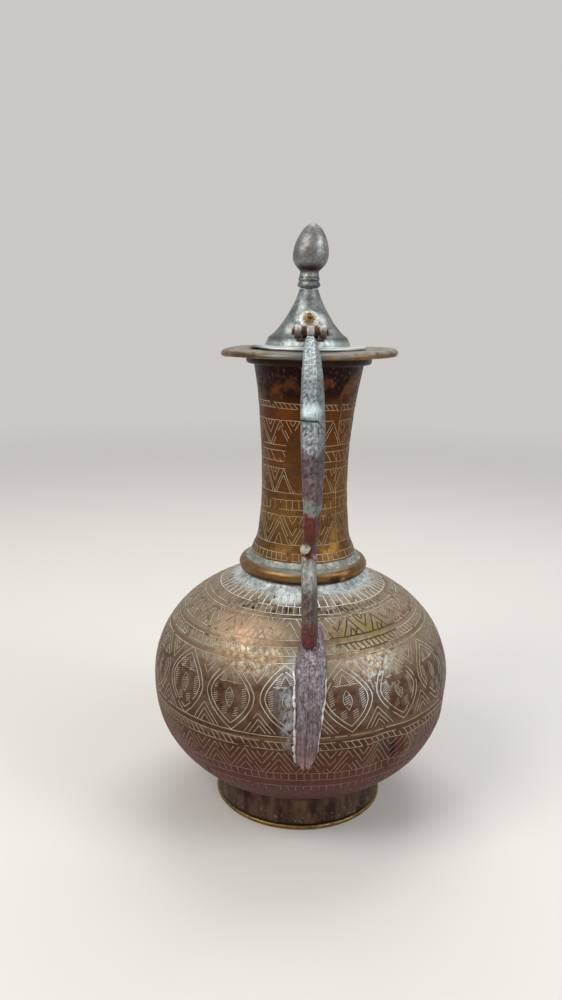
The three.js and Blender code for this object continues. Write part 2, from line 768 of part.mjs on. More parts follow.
nub.translate(0, -tip.x - 1.2, nubHeight + 1.5);
const handleSeat = bodyEnvelope(seam + leafThickness + seam);
const handleCasting = solidOf(lofted(handleRings)).add(solidOf(nub)).subtract(handleSeat);
add('handle_casting', geometryOf(handleCasting), pewter);

// Leaf, a plate bent to the belly under the handle's lower end

const leafSteps = 16;
const leafSpans = 6;

function leafHalfWidthAt(share) {
  const body = mix(1, 0.6, Math.max(share - 0.25, 0) / 0.75);
  const crown = Math.min(1, Math.sqrt(share / 0.22) * 0.6 + 0.4);
  const tail = Math.sqrt(Math.max(1 - Math.max(share - 0.93, 0) / 0.07, 0)) * 0.45 + 0.55;
  return (leafWidth / 2) * body * crown * tail;
}

// A point of the leaf: share runs down its length, side from -1 to 1 across it.
function leafPoint(share, side, lift) {
  const place = offBelly(mix(leafTop, leafBottom, share), lift);
  const across = leafOffset - leafDrift * share;
  const angle = (leafHalfWidthAt(share) * side + across) / place.x;
  return new THREE.Vector3(place.x * Math.sin(angle), -place.x * Math.cos(angle), place.y);
}

const leafRings = [];
for (let i = 0; i <= leafSteps; i += 1) {
  const share = i / leafSteps;
  const ring = [];
  for (let j = 0; j <= leafSpans; j += 1) {
    const side = 1 - (2 * j) / leafSpans;
    ring.push(leafPoint(share, side, seam + leafThickness * (1 - 0.35 * side ** 4)));
  }
  for (let j = leafSpans; j >= 0; j -= 1) {
    ring.push(leafPoint(share, 1 - (2 * j) / leafSpans, seam));
  }
  leafRings.push(ring);
}
add('handle_leaf', lofted(leafRings), pewter);

export default group;
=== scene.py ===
# %% [markdown]
# # A copper ewer
#
# The real object is a water ewer of raised and engraved copper, with a cast handle, a
# hinged lid and a curved spout. A measured model of it comes first: it holds every piece at
# its true size and place. This lesson gives each piece its finer shape and its finish.
# Everything is in metres with Z up, the foot stands on Z = 0, the handle is at -Y and the
# spout at +Y. Sizes are written in millimetres and multiplied by `MM`.

from math import acos, atan2, copysign, cos, dist, exp, hypot, pi, radians, sin, sqrt

import bmesh
import bpy
from mathutils import Matrix, Vector


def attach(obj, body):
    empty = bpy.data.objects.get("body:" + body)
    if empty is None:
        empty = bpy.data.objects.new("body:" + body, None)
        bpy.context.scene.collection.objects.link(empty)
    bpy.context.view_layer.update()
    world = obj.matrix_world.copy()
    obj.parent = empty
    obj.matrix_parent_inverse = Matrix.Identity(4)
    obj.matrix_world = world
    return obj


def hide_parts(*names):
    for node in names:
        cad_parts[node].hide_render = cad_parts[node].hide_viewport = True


MM = 0.001

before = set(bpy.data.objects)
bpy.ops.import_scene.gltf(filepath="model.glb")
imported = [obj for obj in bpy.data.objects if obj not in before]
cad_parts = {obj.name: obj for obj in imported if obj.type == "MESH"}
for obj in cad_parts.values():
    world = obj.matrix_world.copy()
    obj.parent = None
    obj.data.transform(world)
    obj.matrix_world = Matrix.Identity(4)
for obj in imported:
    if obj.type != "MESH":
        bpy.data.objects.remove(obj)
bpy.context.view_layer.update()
scene = bpy.context.scene
print("pieces in the model:", len(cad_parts))

# %% [markdown]
# ## Camera
#
# The camera stands half a metre from the vessel, a little above its lid, and looks down on
# it. It leans slightly, as a camera held in the hand does. Its lens is found from the width
# of the view: a focal length of 870 pixels on a picture 1000 pixels high.

# %% Camera
camera_distance = 483 * MM    # from the vessel's axis
camera_height = 290 * MM
camera_side = -2.3            # degrees round the vessel from straight behind the handle
camera_tilt = 13.0            # degrees below the horizon
camera_yaw = 1.56             # degrees that it looks to the left of the axis
camera_roll = 0.95
focal_share = 0.870           # focal length as a share of the picture's long side

camera_data = bpy.data.cameras.new("camera")
camera_data.sensor_width = 36
camera_data.lens = focal_share * camera_data.sensor_width
camera_data.clip_start = 0.01
camera = bpy.data.objects.new("camera", camera_data)
scene.collection.objects.link(camera)
side = radians(camera_side)
camera.location = (
    camera_distance * sin(side), -camera_distance * cos(side), camera_height,
)
camera.rotation_mode = "QUATERNION"
camera.rotation_quaternion = (
    Matrix.Rotation(radians(camera_side + camera_yaw), 4, "Z")
    @ Matrix.Rotation(radians(90 - camera_tilt), 4, "X")
    @ Matrix.Rotation(radians(camera_roll), 4, "Z")
).to_quaternion()
scene.camera = camera
scene.view_settings.view_transform = "Standard"
print("lens in mm:", round(camera_data.lens, 1))

# %% [markdown]
# ## Small helpers
#
# Materials and Geometry Nodes are both graphs of nodes. One function adds a node of any
# kind: its inputs come in order, each a value or a link, or by their own capitalised names,
# and its settings by names in small letters. The node goes into the graph that its links are
# in, and one without a link is told its graph. A second function turns a colour that is
# written as six hex digits, as in any paint program, into the linear numbers that Blender
# calculates with. A third makes a piece from its points and faces.

# %% Helpers for nodes, colours and meshes
def add_node(kind, *inputs, tree=None, **named):
    """Adds a node to the tree that its links are in, or to the one that is given."""
    values = [*inputs, *named.values()]
    links = [value for value in values if isinstance(value, bpy.types.NodeSocket)]
    tree = tree or links[0].id_data
    node = tree.nodes.new(kind)
    for name, value in named.items():
        if name.islower():
            setattr(node, name, value)
    live = [socket for socket in node.inputs if socket.enabled]
    by_name = [
        (node.inputs[name.replace("_", " ")], value)
        for name, value in named.items() if not name.islower()
    ]
    for socket, value in [*zip(live, inputs), *by_name]:
        if isinstance(value, bpy.types.NodeSocket):
            tree.links.new(value, socket)
        elif value is not None:
            socket.default_value = value
    return next((socket for socket in node.outputs if socket.enabled), None)


def paint(text):
    channels = [int(text[i:i + 2], 16) / 255 for i in (1, 3, 5)]
    linear = [c / 12.92 if c <= 0.04045 else ((c + 0.055) / 1.055) ** 2.4 for c in channels]
    return (*linear, 1.0)


def new_piece(name, points, faces=(), material=None, edges=(), unit=MM):
    """A mesh from points in millimetres, or in another unit."""
    mesh = bpy.data.meshes.new(name)
    mesh.from_pydata([Vector(point) * unit for point in points], edges, faces)
    piece = bpy.data.objects.new(name, mesh)
    scene.collection.objects.link(piece)
    if material:
        mesh.materials.append(material)
    return piece


print("middle grey is", [round(channel, 3) for channel in paint("#808080")[:3]])

# %% [markdown]
# ## Studio
#
# A metal object shows its room as much as its own colour, so the room is kept plain: a pale
# floor, an even pale surround and three large soft lamps. The world is dimmer as a light than
# it is to the eye. The Light Path node tells a ray that the camera or a shiny surface sends
# from a ray that gathers light, so the background can be pale without flooding the object.
# By the same node the floor fades into the surround with distance, so no horizon shows.

# %% Floor and surround
floor_colour = paint("#d9d6d2")
floor_reach = 4000
fade_start, fade_end = 0.55, 1.7      # metres from the vessel
surround_light = 0.42
surround_seen = 0.86


def seen_directly(tree):
    """1 for a ray that the camera or a shiny or clear surface sends."""
    rays = add_node("ShaderNodeLightPath", tree=tree).node.outputs
    seen = add_node(
        "ShaderNodeMath", rays["Is Camera Ray"], rays["Is Glossy Ray"], operation="MAXIMUM"
    )
    return add_node("ShaderNodeMath", seen, rays["Is Transmission Ray"], operation="MAXIMUM")


world = bpy.data.worlds.new("studio")
world.use_nodes = True
scene.world = world
tree = world.node_tree
tree.nodes.clear()
lit = add_node("ShaderNodeBackground", (1, 0.99, 0.97, 1), surround_light, tree=tree)
shown = add_node("ShaderNodeBackground", floor_colour, surround_seen, tree=tree)
surround = add_node("ShaderNodeMixShader", seen_directly(tree), lit, shown)
add_node("ShaderNodeOutputWorld", surround)

floor_paper = bpy.data.materials.new("matt_paper_floor")
floor_paper.use_nodes = True
tree = floor_paper.node_tree
shader = tree.nodes["Principled BSDF"]
shader.inputs["Base Color"].default_value = floor_colour
shader.inputs["Roughness"].default_value = 0.85
shader.inputs["Specular IOR Level"].default_value = 0.2
away = add_node("ShaderNodeTexCoord", tree=tree).node.outputs["Object"]
away = add_node("ShaderNodeVectorMath", away, operation="LENGTH")
far = add_node(
    "ShaderNodeMapRange", away, fade_start, fade_end, 0, 1, interpolation_type="SMOOTHSTEP"
)
glow = add_node("ShaderNodeEmission", floor_colour, surround_seen, tree=tree)
far = add_node("ShaderNodeMath", far, seen_directly(tree), operation="MULTIPLY")
faded = add_node("ShaderNodeMixShader", far, shader.outputs["BSDF"], glow)
tree.links.new(faded, tree.nodes["Material Output"].inputs["Surface"])
corners = [(-1, -1), (1, -1), (1, 1), (-1, 1)]
floor = new_piece(
    "floor", [(floor_reach * x, floor_reach * y, 0) for x, y in corners], [(0, 1, 2, 3)],
    floor_paper,
)

# %% Lamps
lamp_aim = Vector((0, 0, 0.15))
for name, place, size, power, colour in (
    ("key_softbox", (-0.75, -0.55, 1.05), (0.7, 0.5), 10, (1, 0.97, 0.93)),
    ("fill_softbox", (0.85, -0.45, 0.8), (0.5, 0.7), 6, (0.93, 0.97, 1)),
    ("top_softbox", (0.1, 0.5, 1.25), (0.9, 0.5), 7, (1, 1, 1)),
):
    light = bpy.data.lights.new(name, "AREA")
    light.shape = "RECTANGLE"
    light.size, light.size_y = size
    light.energy = power
    light.color = colour
    lamp = bpy.data.objects.new(name, light)
    lamp.location = place
    lamp.rotation_mode = "QUATERNION"
    lamp.rotation_quaternion = (lamp_aim - Vector(place)).to_track_quat("-Z", "Y")
    scene.collection.objects.link(lamp)
    print(name, "power", power)

# %% [markdown]
# ## Patterns that the finishes share
#
# Old metal is never one colour. A few small patterns make nearly all of what is seen here:
# a mottle of a given grain, a soft patch round one spot, a soft band between two heights,
# and coats of colour laid over each other. Each reads the Object coordinates, which stay on
# the piece, and takes its size in millimetres. A finish starts with a shader and these
# coordinates.

# %% Patterns for the finishes
def start_finish(name, metallic, roughness):
    """A material, its shader, its coordinates and the height among them."""
    material = bpy.data.materials.new(name)
    material.use_nodes = True
    shader = material.node_tree.nodes["Principled BSDF"]
    shader.inputs["Metallic"].default_value = metallic
    shader.inputs["Roughness"].default_value = roughness
    place = add_node("ShaderNodeTexCoord", tree=material.node_tree).node.outputs["Object"]
    print("finish:", name)
    return material, shader, place, add_node("ShaderNodeSeparateXYZ", place).node.outputs["Z"]


def mottle(place, grain, low, high, detail=5.0, stretch=(1, 1, 1)):
    """A noise of a grain in millimetres, spread from 0 at one value to 1 at the other."""
    scaled = add_node("ShaderNodeMapping", place, None, None, stretch)
    cloud = add_node("ShaderNodeTexNoise", scaled, 1 / (grain * MM), detail, 0.6)
    return add_node("ShaderNodeMapRange", cloud, low, high, 0, 1)


def mottles(place, *rows):
    return [mottle(place, *row) for row in rows]


def patch(place, centre, reach):
    """1 at a centre, fading to 0 at its reach along X, Y and Z."""
    offset = add_node(
        "ShaderNodeVectorMath", place, tuple(c * MM for c in centre), operation="SUBTRACT"
    )
    offset = add_node(
        "ShaderNodeVectorMath", offset, tuple(1 / (r * MM) for r in reach), operation="MULTIPLY"
    )
    away = add_node("ShaderNodeVectorMath", offset, operation="LENGTH")
    return add_node("ShaderNodeMapRange", away, 1, 0.2, 0, 1, interpolation_type="SMOOTHSTEP")


def level(height, start, full):
    """0 at one height in millimetres and 1 at the other."""
    return add_node(
        "ShaderNodeMapRange", height, start * MM, full * MM, 0, 1, interpolation_type="SMOOTHSTEP"
    )


def both(first, *others):
    """Two shares or more, multiplied: what they cover together."""
    for other in others:
        first = add_node("ShaderNodeMath", first, other, operation="MULTIPLY")
    return first


def spot(place, centre, reach, *grain):
    """A patch broken up by a mottle."""
    return both(patch(place, centre, reach), mottle(place, *grain))


def blend(share, under, over):
    under, over = (paint(c) if isinstance(c, str) else c for c in (under, over))
    return add_node("ShaderNodeMix", share, under, over, data_type="RGBA")


def coats(colour, *layers):
    """A colour under layers, each the share that it covers and its own colour."""
    for share, over in layers:
        colour = blend(share, colour, over)
    return colour


def finish_with(shader, colour, roughness=None, metallic=None, relief=()):
    """Roughness and metal go with a pattern from one value to another. Relief is a list of
    patterns, each with the height in millimetres that it stands for."""
    tree = shader.id_data
    tree.links.new(colour, shader.inputs["Base Color"])
    for name, ranged in (("Roughness", roughness), ("Metallic", metallic)):
        if ranged:
            pattern, low, high = ranged
            pattern = add_node("ShaderNodeMapRange", pattern, 0, 1, low, high)
            tree.links.new(pattern, shader.inputs[name])
    normal = None
    for pattern, depth in relief:
        normal = add_node("ShaderNodeBump", 1.0, depth * MM, None, pattern, normal)
    if normal:
        tree.links.new(normal, shader.inputs["Normal"])


# %% [markdown]
# ## Finish of the body: raised copper
#
# The body is copper sheet, raised over stakes with a hammer, then engraved and tinned
# inside. Outside it has a brown patina that is thin and greyish above, where hands and
# cloths have rubbed it, and darker and reddish below: partly the patina, partly a painted
# reflection of a red surround. Tin and lime have left a bluish white bloom round the collar
# and beside the handle's leaf. A painted shadow darkens the dent, and the rubbed patch left
# of the handle carries a painted highlight. Patinated copper is a metal with a fairly rough
# skin, and the bloom is rougher and hardly metallic.

# %% Raised copper with a brown patina
raised_copper, shader, place, height = start_finish("raised_copper_brown_patina", 0.85, 0.47)
clouds, flecks, fine = mottles(place, (22, 0.35, 0.65), (2.6, 0.42, 0.62, 8), (0.9, 0.3, 0.7, 3))
upper = coats(blend(clouds, "#8b7961", "#9f937d"), (both(flecks, clouds), "#665440"))
belly = coats(blend(clouds, "#573a27", "#40271b"), (both(flecks, 0.7), "#664632"))
# darker and redder below: partly patina, partly a painted reflection of a red surround
under = coats(blend(clouds, "#5f3029", "#4b231e"), (both(flecks, 0.7), "#6d3d32"))
haze = both(level(height, 74, 86), mottle(place, 6, 0.42, 0.66, 8), 0.27)
colour = coats(
    under, (level(height, 48, 76), belly), (level(height, 96, 115), upper),
    (haze, "#97928a"),
)
across = add_node("ShaderNodeSeparateXYZ", place).node.outputs["X"]
levelled = add_node("ShaderNodeMath", across, -0.055, height, operation="MULTIPLY_ADD")
for low, high in ((73.5, 76), (111.7, 114), (117.9, 120), (127.8, 128.8)):
    above, below = level(levelled, low - 0.3, low + 0.3), level(levelled, high + 0.3, high - 0.3)
    colour = coats(colour, (both(above, below, 0.6), "#755a42"))      # between two ruled lines
colour = coats(
    colour,
    (spot(place, (-32, -51, 121), (28, 28, 10), 9, 0.35, 0.6), "#b99a7c"),       # rubbed bare, and a painted highlight
    (spot(place, (28, -52, 121), (24, 28, 8), 7, 0.35, 0.58), "#83733f"),        # yellow
    (spot(place, (0, -47, 130), (80, 30, 3.4), 3, 0.42, 0.58), "#4a3e30"),       # grime
    # painted shadow beside the dent
    (both(spot(place, (41, -72, 63), (11, 11, 16), 4, 0.3, 0.55), 0.7), "#38231d"),
    (patch(place, (46.6, -69, 60.5), (1.9, 3.2, 11)), "#1f1410"),                # painted shadow in the dent's crease
)
runs = mottle(place, 2.6, 0.42, 0.6, 8, stretch=(1, 1, 0.5))
for centre, reach, tint, share in (
    ((-10.5, -81, 96), (7.5, 12, 24), "#84888f", 0.9),
    ((-9, -83, 84), (4.5, 9, 26), "#a9b3bb", 0.8),
    ((-7, -76, 112), (9, 9, 8), "#a9bac2", 0.8),
):
    colour = coats(colour, (both(patch(place, centre, reach), share, runs), tint))
collar_bloom = both(level(height, 132.6, 135.6), mottle(place, 2.4, 0.34, 0.54, 8))
left_bloom = spot(place, (-8.5, -38.5, 134), (13, 11, 5), 3, 0.3, 0.45, 8)
side_bloom = spot(place, (36, -66, 104), (16, 20, 15), 2.4, 0.5, 0.66, 8)
bloom = add_node("ShaderNodeMath", collar_bloom, left_bloom, operation="MAXIMUM")
bloom = add_node("ShaderNodeMath", bloom, side_bloom, operation="MAXIMUM")
colour = coats(colour, (bloom, "#c8d1d1"), (left_bloom, "#e3ecec"))
for pit in ((-32, -40.6, 129.3), (-27.2, -43.8, 129.4), (17.8, -43.4, 131.6)):
    colour = coats(colour, (patch(place, pit, (1.7, 2.5, 1.3)), "#14100c"))
rough = add_node("ShaderNodeMath", flecks, bloom, operation="MAXIMUM")
finish_with(
    shader, colour, (rough, 0.43, 0.64), (bloom, 0.85, 0.3),
    relief=[(clouds, 0.12), (flecks, 0.035), (fine, 0.012)],
)

# %% [markdown]
# ## Finish of the neck: rolled copper
#
# The neck is a rolled sheet, brazed along an upright seam. It keeps a deeper golden brown
# than the body. Towards the top, under the rim, it is nearly black, with windows of clean
# orange metal and a few lilac flecks, which are painted highlights.

# %% Rolled copper with a golden patina
rolled_copper, shader, place, height = start_finish("rolled_copper_golden_patina", 0.86, 0.44)
clouds, flecks, fine = mottles(place, (14, 0.35, 0.65), (2.2, 0.45, 0.62, 8), (0.8, 0.3, 0.7, 3))
warm = blend(clouds, "#663811", "#4f280c")
plain = blend(clouds, "#78562b", "#654621")
# darker towards the top, under the rim
dark_top = add_node(
    "ShaderNodeMath", mottle(place, 10, 0.58, 0.46, 6), level(height, 246, 258), operation="ADD"
)
dark_top.node.use_clamp = True
# lilac flecks near the top: painted highlights
lilac_highlights = both(level(height, 238, 250), mottle(place, 1.7, 0.55, 0.66, 8), 0.35)
not_the_spout = level(add_node("ShaderNodeSeparateXYZ", place).node.outputs["Y"], 60, 50)
foot_bloom = both(level(height, 150, 144), mottle(place, 3, 0.3, 0.55, 6), not_the_spout)
colour = coats(
    warm, (level(height, 222, 165), plain), (both(flecks, clouds), "#4c2f17"),
    (both(dark_top, level(height, 231, 243)), "#1d0906"), (lilac_highlights, "#7d5a60"),
    (spot(place, (16.2, -20, 162), (7, 7, 12), 3, 0.35, 0.6), "#9a7434"),
    (foot_bloom, "#8f938d"),
)
finish_with(
    shader, colour, (flecks, 0.36, 0.56),
    relief=[(clouds, 0.08), (flecks, 0.03), (fine, 0.01)],
)

# %% [markdown]
# ## Finish of the collar and the foot
#
# The collar is half-round copper, polished by hands on its widest line and left with tin in
# its upper groove. The foot ring is plain sheet, streaked from top to bottom by water.

# %% Rubbed copper collar
rubbed_copper, shader, place, height = start_finish("rubbed_copper_collar", 0.9, 0.38)
clouds, fine = mottles(place, (7, 0.35, 0.65), (1, 0.35, 0.65, 5))
across = add_node("ShaderNodeSeparateXYZ", place).node.outputs["X"]
across = add_node("ShaderNodeMath", across, operation="ABSOLUTE")
groove = add_node("ShaderNodeMath", across, -0.07, height, operation="MULTIPLY_ADD")
tin = both(level(groove, 144.2, 146.2), mottle(place, 3.5, 0.28, 0.5, 6))
colour = coats(
    blend(clouds, "#80643f", "#674a2b"),
    # the bead's underside, below its widest line, is darkened with painted shade
    (level(height, 142, 140.3), "#33211a"), (tin, "#949a94"),
    (spot(place, (16.5, -32.5, 142), (6, 4, 3), 2.5, 0.35, 0.5), "#33302a"),     # scar
    (patch(place, (21, -30, 141.5), (2, 3, 1.6)), "#b08734"),                    # gold
)
finish_with(
    shader, colour, (tin, 0.36, 0.62), (tin, 0.9, 0.5),
    relief=[(clouds, 0.12), (fine, 0.02)],
)

# %% Tin run into the joints of the collar
collar_tin, shader, place, height = start_finish("tin_round_the_collar", 0.5, 0.55)
lumps = mottle(place, 2, 0.35, 0.62, 6)
streaks = mottle(place, 5, 0.45, 0.6, 5, stretch=(1, 1, 0.3))
colour = coats(
    blend(lumps, "#757771", "#9fa59f"),
    (level(height, 142, 139), blend(lumps, "#98a2a1", "#d6e0e0")),
    (both(streaks, 0.55), "#5f5b50"),
)
finish_with(shader, colour, (lumps, 0.6, 0.45), relief=[(lumps, 0.08), (streaks, 0.06)])

# %% Tarnished sheet of the foot
foot_sheet, shader, place, height = start_finish("tarnished_copper_foot", 0.82, 0.5)
streaks = mottle(place, 3, 0.38, 0.62, 6, stretch=(1, 1, 0.16))
stains = mottle(place, 9, 0.42, 0.6, 4, stretch=(1, 1, 0.5))
fine = mottle(place, 0.9, 0.35, 0.65, 4)
lime = both(mottle(place, 2, 0.58, 0.7, 8), level(height, 14, 5))
colour = coats(
    blend(streaks, "#4f3b2f", "#6a5442"),
    (stains, "#35241c"), (lime, "#9d9282"), (level(height, 4.4, 3.2), "#241a12"),
)
finish_with(
    shader, colour, (streaks, 0.42, 0.6),
    relief=[(stains, 0.08), (streaks, 0.03), (fine, 0.012)],
)

# %% [markdown]
# ## Finish of the brass pieces
#
# Brass is yellower and paler than copper. The rim plate is old brass with a greenish brown
# tarnish on its rolled edge and a whitish film on top. The ledge under it and the underside of
# its edge are darkened nearly to black with painted shade. The small trim, such as the rivet,
# the hinge's barrel and the bead round the foot, is rubbed bright on what stands proud.

# %% Tarnished brass of the rim plate
plate_brass, shader, place, height = start_finish("tarnished_brass_plate", 0.8, 0.47)
clouds, fine = mottles(place, (8, 0.35, 0.62), (1.2, 0.35, 0.68, 6))
film = both(level(height, 262.5, 263.7), mottle(place, 6, 0.36, 0.6, 6))
front = spot(place, (-4, -48, 262), (34, 20, 8), 5, 0.3, 0.5, 6)
colour = coats(
    blend(clouds, "#826745", "#624b32"), (both(fine, clouds), "#41342a"),
    (both(film, 0.7), "#8c928f"), (both(front, 0.8), "#626869"),
    # painted shade on the ledge and under the plate's edge
    (both(level(height, 260.2, 259), 0.92), "#220f0b"),
)
finish_with(
    shader, colour, (film, 0.42, 0.6), (film, 0.8, 0.5),
    relief=[(clouds, 0.1), (fine, 0.02)],
)

# %% Rubbed brass of the trim
def rubbed_brass(name, worn, dull, dirt):
    material, shader, place, height = start_finish(name, 0.88, 0.4)
    clouds, fine = mottles(place, (4, 0.35, 0.65), (0.8, 0.4, 0.65, 5))
    colour = coats(blend(clouds, worn, dull), (both(fine, clouds), dirt))
    finish_with(shader, colour, (fine, 0.36, 0.52), relief=[(clouds, 0.05), (fine, 0.012)])
    return material


trim_brass = rubbed_brass("rubbed_brass_trim", "#8f7544", "#715a30", "#3f301a")
rosette_brass = rubbed_brass("polished_brass_rosette", "#bfa878", "#9d8350", "#6b5228")

# %% Brass of the hinge
hinge_brass, shader, place, height = start_finish("greasy_brass_hinge", 0.8, 0.45)
clouds, fine = mottles(place, (2.5, 0.35, 0.62), (0.8, 0.4, 0.65, 5))
across = add_node("ShaderNodeSeparateXYZ", place).node.outputs["X"]
across = add_node("ShaderNodeMath", across, operation="ABSOLUTE")
tongue = both(
    level(across, 2.1, 1.6), mottle(place, 2.5, 0.25, 0.48), level(height, 278.2, 276.2),
)
colour = coats(
    blend(clouds, "#5a4836", "#38281d"),
    (level(height, 276.5, 278), blend(clouds, "#8a7052", "#5e4a35")), (tongue, "#a5a39b"),
)
finish_with(
    shader, colour, (fine, 0.4, 0.55), (tongue, 0.8, 0.55),
    relief=[(clouds, 0.06), (fine, 0.015)],
)

# %% [markdown]
# ## Finish of the castings: tinned brass
#
# The handle, its leaf and the hinge's fork are sand castings of brass, tinned grey. A sand
# casting has a pebbled skin with grains of about a millimetre. The tin is pale on the grip's
# outer face. Its right bevel is darker and browner, with a dark line where it turns: painted
# shade on the side that faces right. Faces that look down, on the return under the knee and
# at the scroll's tip, are reddish: a painted reflection of a red surround. Faces that look
# up, on the nub and just below it, are painted pale as highlights. The hollows of the skin
# hold dark dirt.

# %% Tinned castings
tinned_casting, shader, place, height = start_finish("tinned_brass_casting", 0.5, 0.55)
pebbles = mottle(place, 1.4, 0.36, 0.6, 6, stretch=(1, 1, 0.6))
clouds, fine = mottles(place, (6, 0.4, 0.6), (0.7, 0.3, 0.7, 3))
ragged = add_node("ShaderNodeMath", clouds, 3 * MM, height, operation="MULTIPLY_ADD")
colour = blend(pebbles, "#545a5c", "#adb8ba")
for start, full, hollow, grain in (
    (258.5, 255, "#3f4548", "#848e91"),     # under the hook
    (237, 234, "#303336", "#8a9194"),       # the grip
    (226, 222, "#241b1e", "#5d4c4f"),       # its middle, worn to brown metal
    (214, 210, "#2b2023", "#715c60"),
    (203, 201, "#565a57", "#8e938c"),       # a pale patch above the knee
    (198, 196, "#3d1611", "#74372a"),       # red under the knee: painted reflection of a red surround, facing down
    # pale where the scroll faces up below the nub: a painted highlight
    (169, 167.5, "#52524f", "#9c9d99"),
    # darker as the scroll turns to face down: painted shade
    (156, 151, "#392c2b", "#7b6764"),
    (137, 131, "#40191a", "#7b4443"),       # red again at the tip: painted reflection of a red surround, facing down
):
    colour = coats(colour, (level(ragged, start, full), blend(pebbles, hollow, grain)))
facing = add_node("ShaderNodeNewGeometry", tree=shader.id_data).node.outputs["Normal"]
facing = add_node("ShaderNodeSeparateXYZ", facing).node.outputs["X"]
# a dark line where the face turns to the right bevel: painted shade
edge = both(
    add_node("ShaderNodeMapRange", facing, 0.25, 0.36, 0, 1),
    add_node("ShaderNodeMapRange", facing, 0.55, 0.44, 0, 1), 0.6,
)
crack = both(
    level(height, 234.7, 235.3), level(height, 236.2, 235.6),
    level(add_node("ShaderNodeSeparateXYZ", place).node.outputs["X"], 3, 2.2),
)
bevel = add_node("ShaderNodeMapRange", facing, 0.3, 0.6, 0, 0.4)       # on the right: painted shade
# the nub painted pale as a highlight where it faces up
nub_highlight = add_node(
    "ShaderNodeMapRange", patch(place, (-2.1, -76.5, 171.2), (4.2, 4.6, 4)), 0.05, 0.3, 0, 1
)
colour = coats(
    colour,
    (bevel, "#4b4344"),
    (edge, "#292427"),
    (spot(place, (-1.5, -83, 240), (8, 8, 5), 3, 0.3, 0.42), "#b9c9cb"),
    (crack, "#1a1a1c"),
    # a pale spot on the scroll below the nub: a painted highlight
    (spot(place, (2.2, -80, 162), (4, 7, 8), 3, 0.34, 0.5), "#b5b5b3"),
    (nub_highlight, blend(clouds, "#a3a28e", "#c9cab9")),
)
finish_with(
    shader, colour, (pebbles, 0.64, 0.46), (pebbles, 0.3, 0.65),
    relief=[(clouds, 0.15), (pebbles, 0.11), (fine, 0.02)],
)

# %% Tinned leaf
tinned_leaf, shader, place, height = start_finish("tinned_brass_leaf", 0.55, 0.57)
grains = mottle(place, 0.8, 0.36, 0.62, 6, stretch=(1, 1, 0.35))
clouds = mottle(place, 7, 0.36, 0.62, 5, stretch=(1, 1, 0.5))
fine = mottle(place, 0.6, 0.3, 0.7, 3)
streaks = mottle(place, 2.2, 0.45, 0.6, 4, stretch=(1, 1, 0.12))
dust = both(level(height, 70, 60), mottle(place, 2, 0.4, 0.55))
colour = coats(
    blend(grains, "#51464a", "#a0969b"), (both(streaks, 0.6), "#42353a"),
    # reddish towards the lower end: a painted reflection of a red surround
    (both(level(height, 96, 62), 0.5), "#6d4444"), (dust, "#a37f7c"),
)
finish_with(
    shader, colour, (grains, 0.64, 0.48),
    relief=[(clouds, 0.15), (grains, 0.06), (fine, 0.02)],
)

# %% Tinned fork of the hinge
hinge_casting, shader, place, height = start_finish("tinned_brass_hinge_fork", 0.6, 0.5)
pebbles = mottle(place, 1.2, 0.36, 0.6, 6)
# pale on the ears' rounded tops: a painted highlight
worn = both(level(height, 274, 277), mottle(place, 1.6, 0.28, 0.5))
colour = coats(
    blend(pebbles, "#4d3d36", "#7a6c64"), (worn, "#b3b1a9"),
    # darker below the ears: painted shade on the cross-bar and web
    (both(level(height, 272.5, 268.5), 0.8), "#2b1b15"),
)
finish_with(shader, colour, (worn, 0.55, 0.42), relief=[(pebbles, 0.05)])

# %% [markdown]
# ## Finish of the lid: tinned copper
#
# The lid was spun or hammered from copper and tinned all over. The tin has aged to a
# pewter grey, mottled by dark patches and paler where fingers lift it: the tip of the cone,
# the lower half of the step and the brim's edge.

# %% Tinned lid
tinned_lid, shader, place, height = start_finish("tinned_copper_lid", 0.8, 0.42)
clouds, pebbles, fine = mottles(
    place, (7, 0.36, 0.62, 6), (1.4, 0.36, 0.62, 6), (0.6, 0.3, 0.7, 3),
)
smear = add_node(
    "ShaderNodeMath", spot(place, (7, -13, 279.5), (7, 9, 6), 3, 0.35, 0.55),
    spot(place, (-11, -14, 275), (5, 8, 5), 3, 0.35, 0.55), operation="MAXIMUM",
)
# a dark ring in the hollow at the cone's foot, above the step: a painted dark reflection
ring = both(level(height, 268.4, 269.6), level(height, 274, 270.6), 0.7)
brim_pale = both(level(height, 268.8, 267.2), mottle(place, 4, 0.36, 0.6))
bud_warm = both(level(height, 301, 303), mottle(place, 2, 0.4, 0.6), 0.6)
bud_dark = both(level(height, 309.5, 306), level(height, 303, 306))
colour = coats(
    blend(clouds, "#5d6366", "#9ba19e"), (both(pebbles, 0.65), "#3f4346"), (smear, "#c9cbc6"),
    (ring, "#43494c"), (brim_pale, "#9fa9a9"), (level(height, 266.4, 265.4), "#b9c0bc"),
    (bud_warm, "#8b8277"), (bud_dark, "#3b2a24"),
)
finish_with(
    shader, colour, (clouds, 0.5, 0.38), (pebbles, 0.85, 0.7),
    relief=[(clouds, 0.12), (pebbles, 0.04), (fine, 0.012)],
)

# %% [markdown]
# ## Solder, seam and engraving
#
# Solder is a soft tin alloy, dull and whitish with age, and lumpy because it froze where it
# ran. The engraved lines are packed with pale polish and lime, except where they are worn
# or on the yellow patch of the shoulder, where they hold black grime.

# %% Solder and brazed seam
soft_solder, shader, place, height = start_finish("aged_soft_solder", 0.45, 0.6)
lumps = mottle(place, 1.6, 0.35, 0.62, 6)
# rosy low down, beside the leaf's lower end: a painted reflection of a red surround
rosy_reflection = both(level(height, 90, 66), 0.4)
colour = coats(blend(lumps, "#a2a5a6", "#e0e2e0"), (rosy_reflection, "#b08f8a"))
finish_with(shader, colour, (lumps, 0.68, 0.5), relief=[(lumps, 0.08)])

